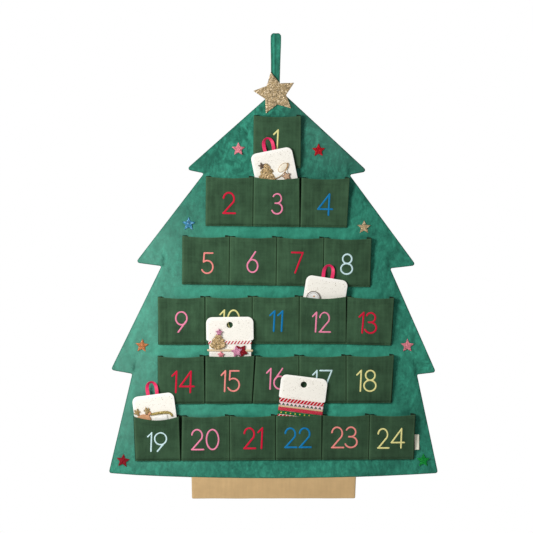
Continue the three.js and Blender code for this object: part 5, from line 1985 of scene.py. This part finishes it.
def snap_clip_19():
    """An olive glitter arch over a white bar."""
    olive, white = glitter("olive_glitter"), enamel_finish("white_enamel", srgb(246, 243, 236))
    line = [(-7.5, -33.6), (-1, -32.8), (8, -32.4), (17, -32.6), (23.5, -34), (27.2, -37), (28.4, -40.5)]
    path = smooth_path([(x, CLIP_Y - 1.1, z) for x, z in line], 0.8)
    across, out = path_frames(path, (0, -1, 0))
    widths = 4.8 * np.sin(np.linspace(0.3, pi - 0.3, len(path))) ** 0.4
    points, faces, uv = swept(path, across, out, round_section(1.0, 0.5, 12), widths)
    arch = make_piece("arch", points, faces, olive, card_matrix(19), uv=uv)
    flaked(arch, olive, 0.0007, THICK_FLAKES, 0.7, 19)
    bar = relief(19, turned(rounded_outline(-12, 12, -6.5, 3.2, 2), 8.5, -40, 2), 1.5, white, 0.5, 0.3, 2)
    clip_on(19, "snap", [arch, bar], "olive_glitter", "snap_clip")


class ADVENT_OT_clips(bpy.types.Operator):
    """Make the hair clips on the cards"""

    bl_idname = "advent.clips"
    bl_label = "Hair clips"

    def execute(self, context):
        gilt = metal_finish("gilt", list(context.scene.advent_gifts.gilt_colour))
        dark = metal_finish("dark_gilt", srgb(84, 66, 50))
        fir_clip(3, (-16.5, -53, 28, 33, -8), (-20.5, -22.5, 6.2, 2.6, 4), dark)
        fir_clip(15, (-20.3, -54, 27, 25, 0), (-18.4, -25.4, 6.4, 3.2, 0), glitter("rose_glitter"), 1.5)
        snap_clip_03(gilt)
        disc_clip_12()
        antler_clip_19()
        snap_clip_19()
        return {"FINISHED"}


def tie_band(number, kind, drop, band, thick, finish, spread=0.0, tip=0.0, cord=False):
    """A closed elastic band round the narrow part of a card, flat or round like a cord."""
    reach = CARDS[number]["width"] / 2 + GAP + thick / 2 + spread
    depth = CARD_BOARD / 2 + GAP + thick / 2
    line = rounded_outline(-reach, reach, -depth, depth, min(depth, 0.9), 5)
    line = even_path(np.concatenate([line, line[:1]]), 1.1)
    path = np.stack([line[:, 0], line[:, 1], -drop - line[:, 0] * tan(radians(tip))], 1)
    path[:, 2] += [0.18 * ripple(x / 9, y, drop) for x, y in line]
    path[-1] = path[0]
    ahead = np.gradient(path, axis=0)
    ahead[0] = ahead[-1] = path[1] - path[-2]
    across = np.broadcast_to([0.0, 0.0, 1.0], path.shape)
    section = round_section(band, thick, 12) if cord else flat_section(band, thick, thick * 0.45, 6)
    points, faces, uv = swept(path, across, np.cross(unit(ahead), across), section, closed=True)
    name = f"tie_{two_digits(number)}_{kind}"
    return make_piece(name, points, faces, finish, card_matrix(number), uv=uv, weld=True)


class ADVENT_OT_ties(bpy.types.Operator):
    """Wind the hair ties round their cards"""

    bl_idname = "advent.ties"
    bl_label = "Hair ties"

    def execute(self, context):
        red, white, green = srgb(192, 4, 34), srgb(248, 242, 238), srgb(12, 82, 46)
        candy = tie_finish("candy_stripe", white, red, "stripe", 0.0052, 0.0055)
        band = tie_band(15, "stripe", 43.6, 5.2, 1.1, candy)
        settle(band, "card_15", "candy_tie", "card_15_stripe_tie")
        beige = tie_finish("beige_elastic", srgb(222, 198, 158), srgb(238, 222, 190), "knit", 0.004)
        parts = [tie_band(15, "cord", 57, 3.6, 1.8, beige, 1.4, 1.3, cord=True)]
        for star, x, z, thickness, slot, crown, rough, spacing, front in (
            ((12.6, 7.2, 36, 0.5), 18.2, -58.6, 1.6, "dark_red_glitter", 0.2, 0.0, 1.5, 1.0),
            ((10.4, 5.4, 8, 0.5), 11.1, -58.8, 1.7, "rose_glitter", 0.3, 0.15, 1.4, 2.1),
            ((6.2, 3.3, 0, 0.3), -15.8, -64, 1.7, "pink_glitter", 0.3, 0.15, 1.2, 1.6),
        ):
            outline = turned(star_outline(*star), x, z)
            parts.append(relief(15, outline, thickness, glitter(slot), 0.4, crown, spacing, rough, front))
        settle(joined("tie_15_charms", parts), "card_15", "beige_cord", "card_15_star_tie")

        candy_wide = tie_finish("candy_stripe_wide", red, white, "stripe", 0.0064, 0.0057, 0.25)
        firs = tie_finish("blush_firs", srgb(246, 214, 218), green, "firs", 0.0056, 0.0069)
        cream = tie_finish("cream_cord", srgb(222, 188, 138), srgb(242, 228, 196), "knit", 0.0025)
        knit = tie_finish("red_knit", srgb(188, 6, 38), srgb(230, 110, 126), "knit", 0.006, 0.0072)
        dots = tie_finish("green_dots", srgb(22, 106, 58), srgb(230, 206, 92), "dots", 0.0054, 0.008)
        for kind, drop, width, thick, finish, spread, slot, *nodes in (
            ("stripe", 43.6, 6.2, 1.1, candy_wide, 1.6, "candy_tie", "card_22_stripe_tie"),
            ("firs", 50, 5.8, 1.1, firs, 1.6, "blush_tie", "card_22_tree_tie"),
            ("cream", 54.4, 2.4, 1.3, cream, 1.6, "beige_cord"),
            ("knit", 58.8, 6, 1.1, knit, 1.6, "red_tie", "card_22_knit_tie"),
            ("dots", 65, 5.6, 1.1, dots, 1.6, "green_tie", "card_22_dot_tie"),
            ("last", 71, 4.6, 1.1, candy_wide, 1.4, "candy_tie"),
        ):
            band = tie_band(22, kind, drop, width, thick, finish, spread, cord=kind == "cream")
            settle(band, "card_22", slot, *nodes)
        return {"FINISHED"}


# Stage


class ADVENT_PG_stage(bpy.types.PropertyGroup):
    """Camera, light and floor"""

    distance: FloatProperty(
        name="Distance", description="From the camera to the tree", default=6.0, min=1, max=20, unit="LENGTH"
    )
    frame_width: FloatProperty(
        name="Picture width", description="Width of the picture at the tree",
        default=0.9061, min=0.3, max=3, unit="LENGTH",
    )
    roll: FloatProperty(
        name="Roll", description="How far the camera is turned about its own axis",
        default=radians(0.57), subtype="ANGLE",
    )
    key: FloatProperty(
        name="Key light", description="Power of the large light at the upper left, in watts",
        default=19.5, min=0, max=500,
    )
    fill: FloatProperty(
        name="Fill light", description="Power of the weak light at the right, in watts",
        default=1.5, min=0, max=500,
    )
    back: FloatProperty(
        name="Back light", description="Power of the weak light behind the tree, in watts",
        default=14, min=0, max=500,
    )
    sky: FloatProperty(
        name="Room light", description="Strength of the even light from all sides", default=0.27, min=0, max=2
    )


class ADVENT_OT_stage(bpy.types.Operator):
    """Set the camera, the soft lights, the white surroundings and the floor"""

    bl_idname = "advent.stage"
    bl_label = "Stage"

    def execute(self, context):
        sizes = context.scene.advent_stage
        scene = context.scene
        middle = Vector((-0.0121, 0.0, -0.3948))
        camera = scene_object("camera", bpy.data.cameras.new("camera"))
        camera.data.lens = camera.data.sensor_width * sizes.distance / sizes.frame_width
        camera.data.clip_end = 50
        turn = Matrix.Rotation(radians(90), 4, "X") @ Matrix.Rotation(sizes.roll, 4, "Z")
        camera.matrix_world = Matrix.Translation(middle + Vector((0, -sizes.distance, 0))) @ turn
        scene.camera = camera
        for name, place, power, size in (
            ("key", (-0.9, -1.15, -0.12), sizes.key, 0.5),
            ("fill", (1.9, -2.2, -0.2), sizes.fill, 1.6),
            ("back", (0.9, 2.2, 0.0), sizes.back, 1.4),
        ):
            lamp = scene_object(name, bpy.data.lights.new(name, "AREA"))
            lamp.data.energy, lamp.data.size = power, size
            lamp.location = place
            lamp.rotation_euler = (middle - Vector(place)).to_track_quat("-Z", "Y").to_euler()
        floor = scene_object("floor", bpy.data.meshes.new("floor"))
        shaped = bmesh.new()
        place = Matrix.Translation((0, -0.1, -0.93))
        bmesh.ops.create_circle(shaped, cap_ends=True, segments=96, radius=0.75, matrix=place)
        shaped.to_mesh(floor.data)
        shaped.free()
        pale = Finish("pale_floor")
        soft = pale.grain(pale.place(), 6.0, 3.0, 0.6)
        colours = pale.ramp(soft, (0.3, srgb(238, 237, 235)), (0.7, srgb(246, 245, 243)))
        floor.data.materials.append(pale.set(Base_Color=colours, Roughness=0.85 + soft * 0.1))
        world = scene.world = bpy.data.worlds.new("studio")
        world.use_nodes = True
        tree = world.node_tree
        tree.nodes.clear()
        white = (1, 1, 1, 1)
        seen = add_node(tree, "ShaderNodeBackground", None, {"Color": white})
        lit = add_node(tree, "ShaderNodeBackground", None, {"Color": white, "Strength": sizes.sky})
        rays = add_node(tree, "ShaderNodeLightPath").outputs
        shown = rays["Is Camera Ray"]
        for ray in ("Is Glossy Ray", "Is Transmission Ray"):
            either = add_node(tree, "ShaderNodeMath", {"operation": "MAXIMUM"}, {0: shown, 1: rays[ray]})
            shown = either.outputs[0]
        both = add_node(tree, "ShaderNodeMixShader", None, {0: shown, 1: lit.outputs[0], 2: seen.outputs[0]})
        add_node(tree, "ShaderNodeOutputWorld", None, {0: both.outputs[0]})
        scene.view_settings.view_transform = "Standard"
        return {"FINISHED"}


OPERATORS = (
    ADVENT_OT_stage,
    ADVENT_OT_velvet,
    ADVENT_OT_lining,
    ADVENT_OT_loop,
    ADVENT_OT_trunk,
    ADVENT_OT_pockets,
    ADVENT_OT_pocket_stitches,
    ADVENT_OT_numerals,
    ADVENT_OT_stars,
    ADVENT_OT_label,
    ADVENT_OT_cards,
    ADVENT_OT_ribbons,
    ADVENT_OT_clips,
    ADVENT_OT_ties,
)
SETTINGS = {
    "advent_tree": ADVENT_PG_tree,
    "advent_pockets": ADVENT_PG_pockets,
    "advent_stars": ADVENT_PG_stars,
    "advent_gifts": ADVENT_PG_gifts,
    "advent_stage": ADVENT_PG_stage,
}


class ADVENT_PT_panel(bpy.types.Panel):
    """Settings and steps of the calendar, in the sidebar"""

    bl_idname = "ADVENT_PT_panel"
    bl_label = "Advent calendar"
    bl_space_type = "VIEW_3D"
    bl_region_type = "UI"
    bl_category = "Calendar"

    def draw(self, context):
        for name in SETTINGS:
            group = getattr(context.scene, name)
            column = self.layout.box().column()
            for field in group.__annotations__:
                column.prop(group, field)
        for operator in OPERATORS:
            self.layout.operator(operator.bl_idname)


CLASSES = (*SETTINGS.values(), *OPERATORS, ADVENT_PT_panel)


def register():
    for cls in CLASSES:
        bpy.utils.register_class(cls)
    for name, group in SETTINGS.items():
        setattr(bpy.types.Scene, name, PointerProperty(type=group))


def unregister():
    for name in SETTINGS:
        delattr(bpy.types.Scene, name)
    for cls in reversed(CLASSES):
        bpy.utils.unregister_class(cls)


def main():
    register()
    for operator in OPERATORS:
        group, step = operator.bl_idname.split(".")
        getattr(getattr(bpy.ops, group), step)()


if __name__ == "__main__":
    main()
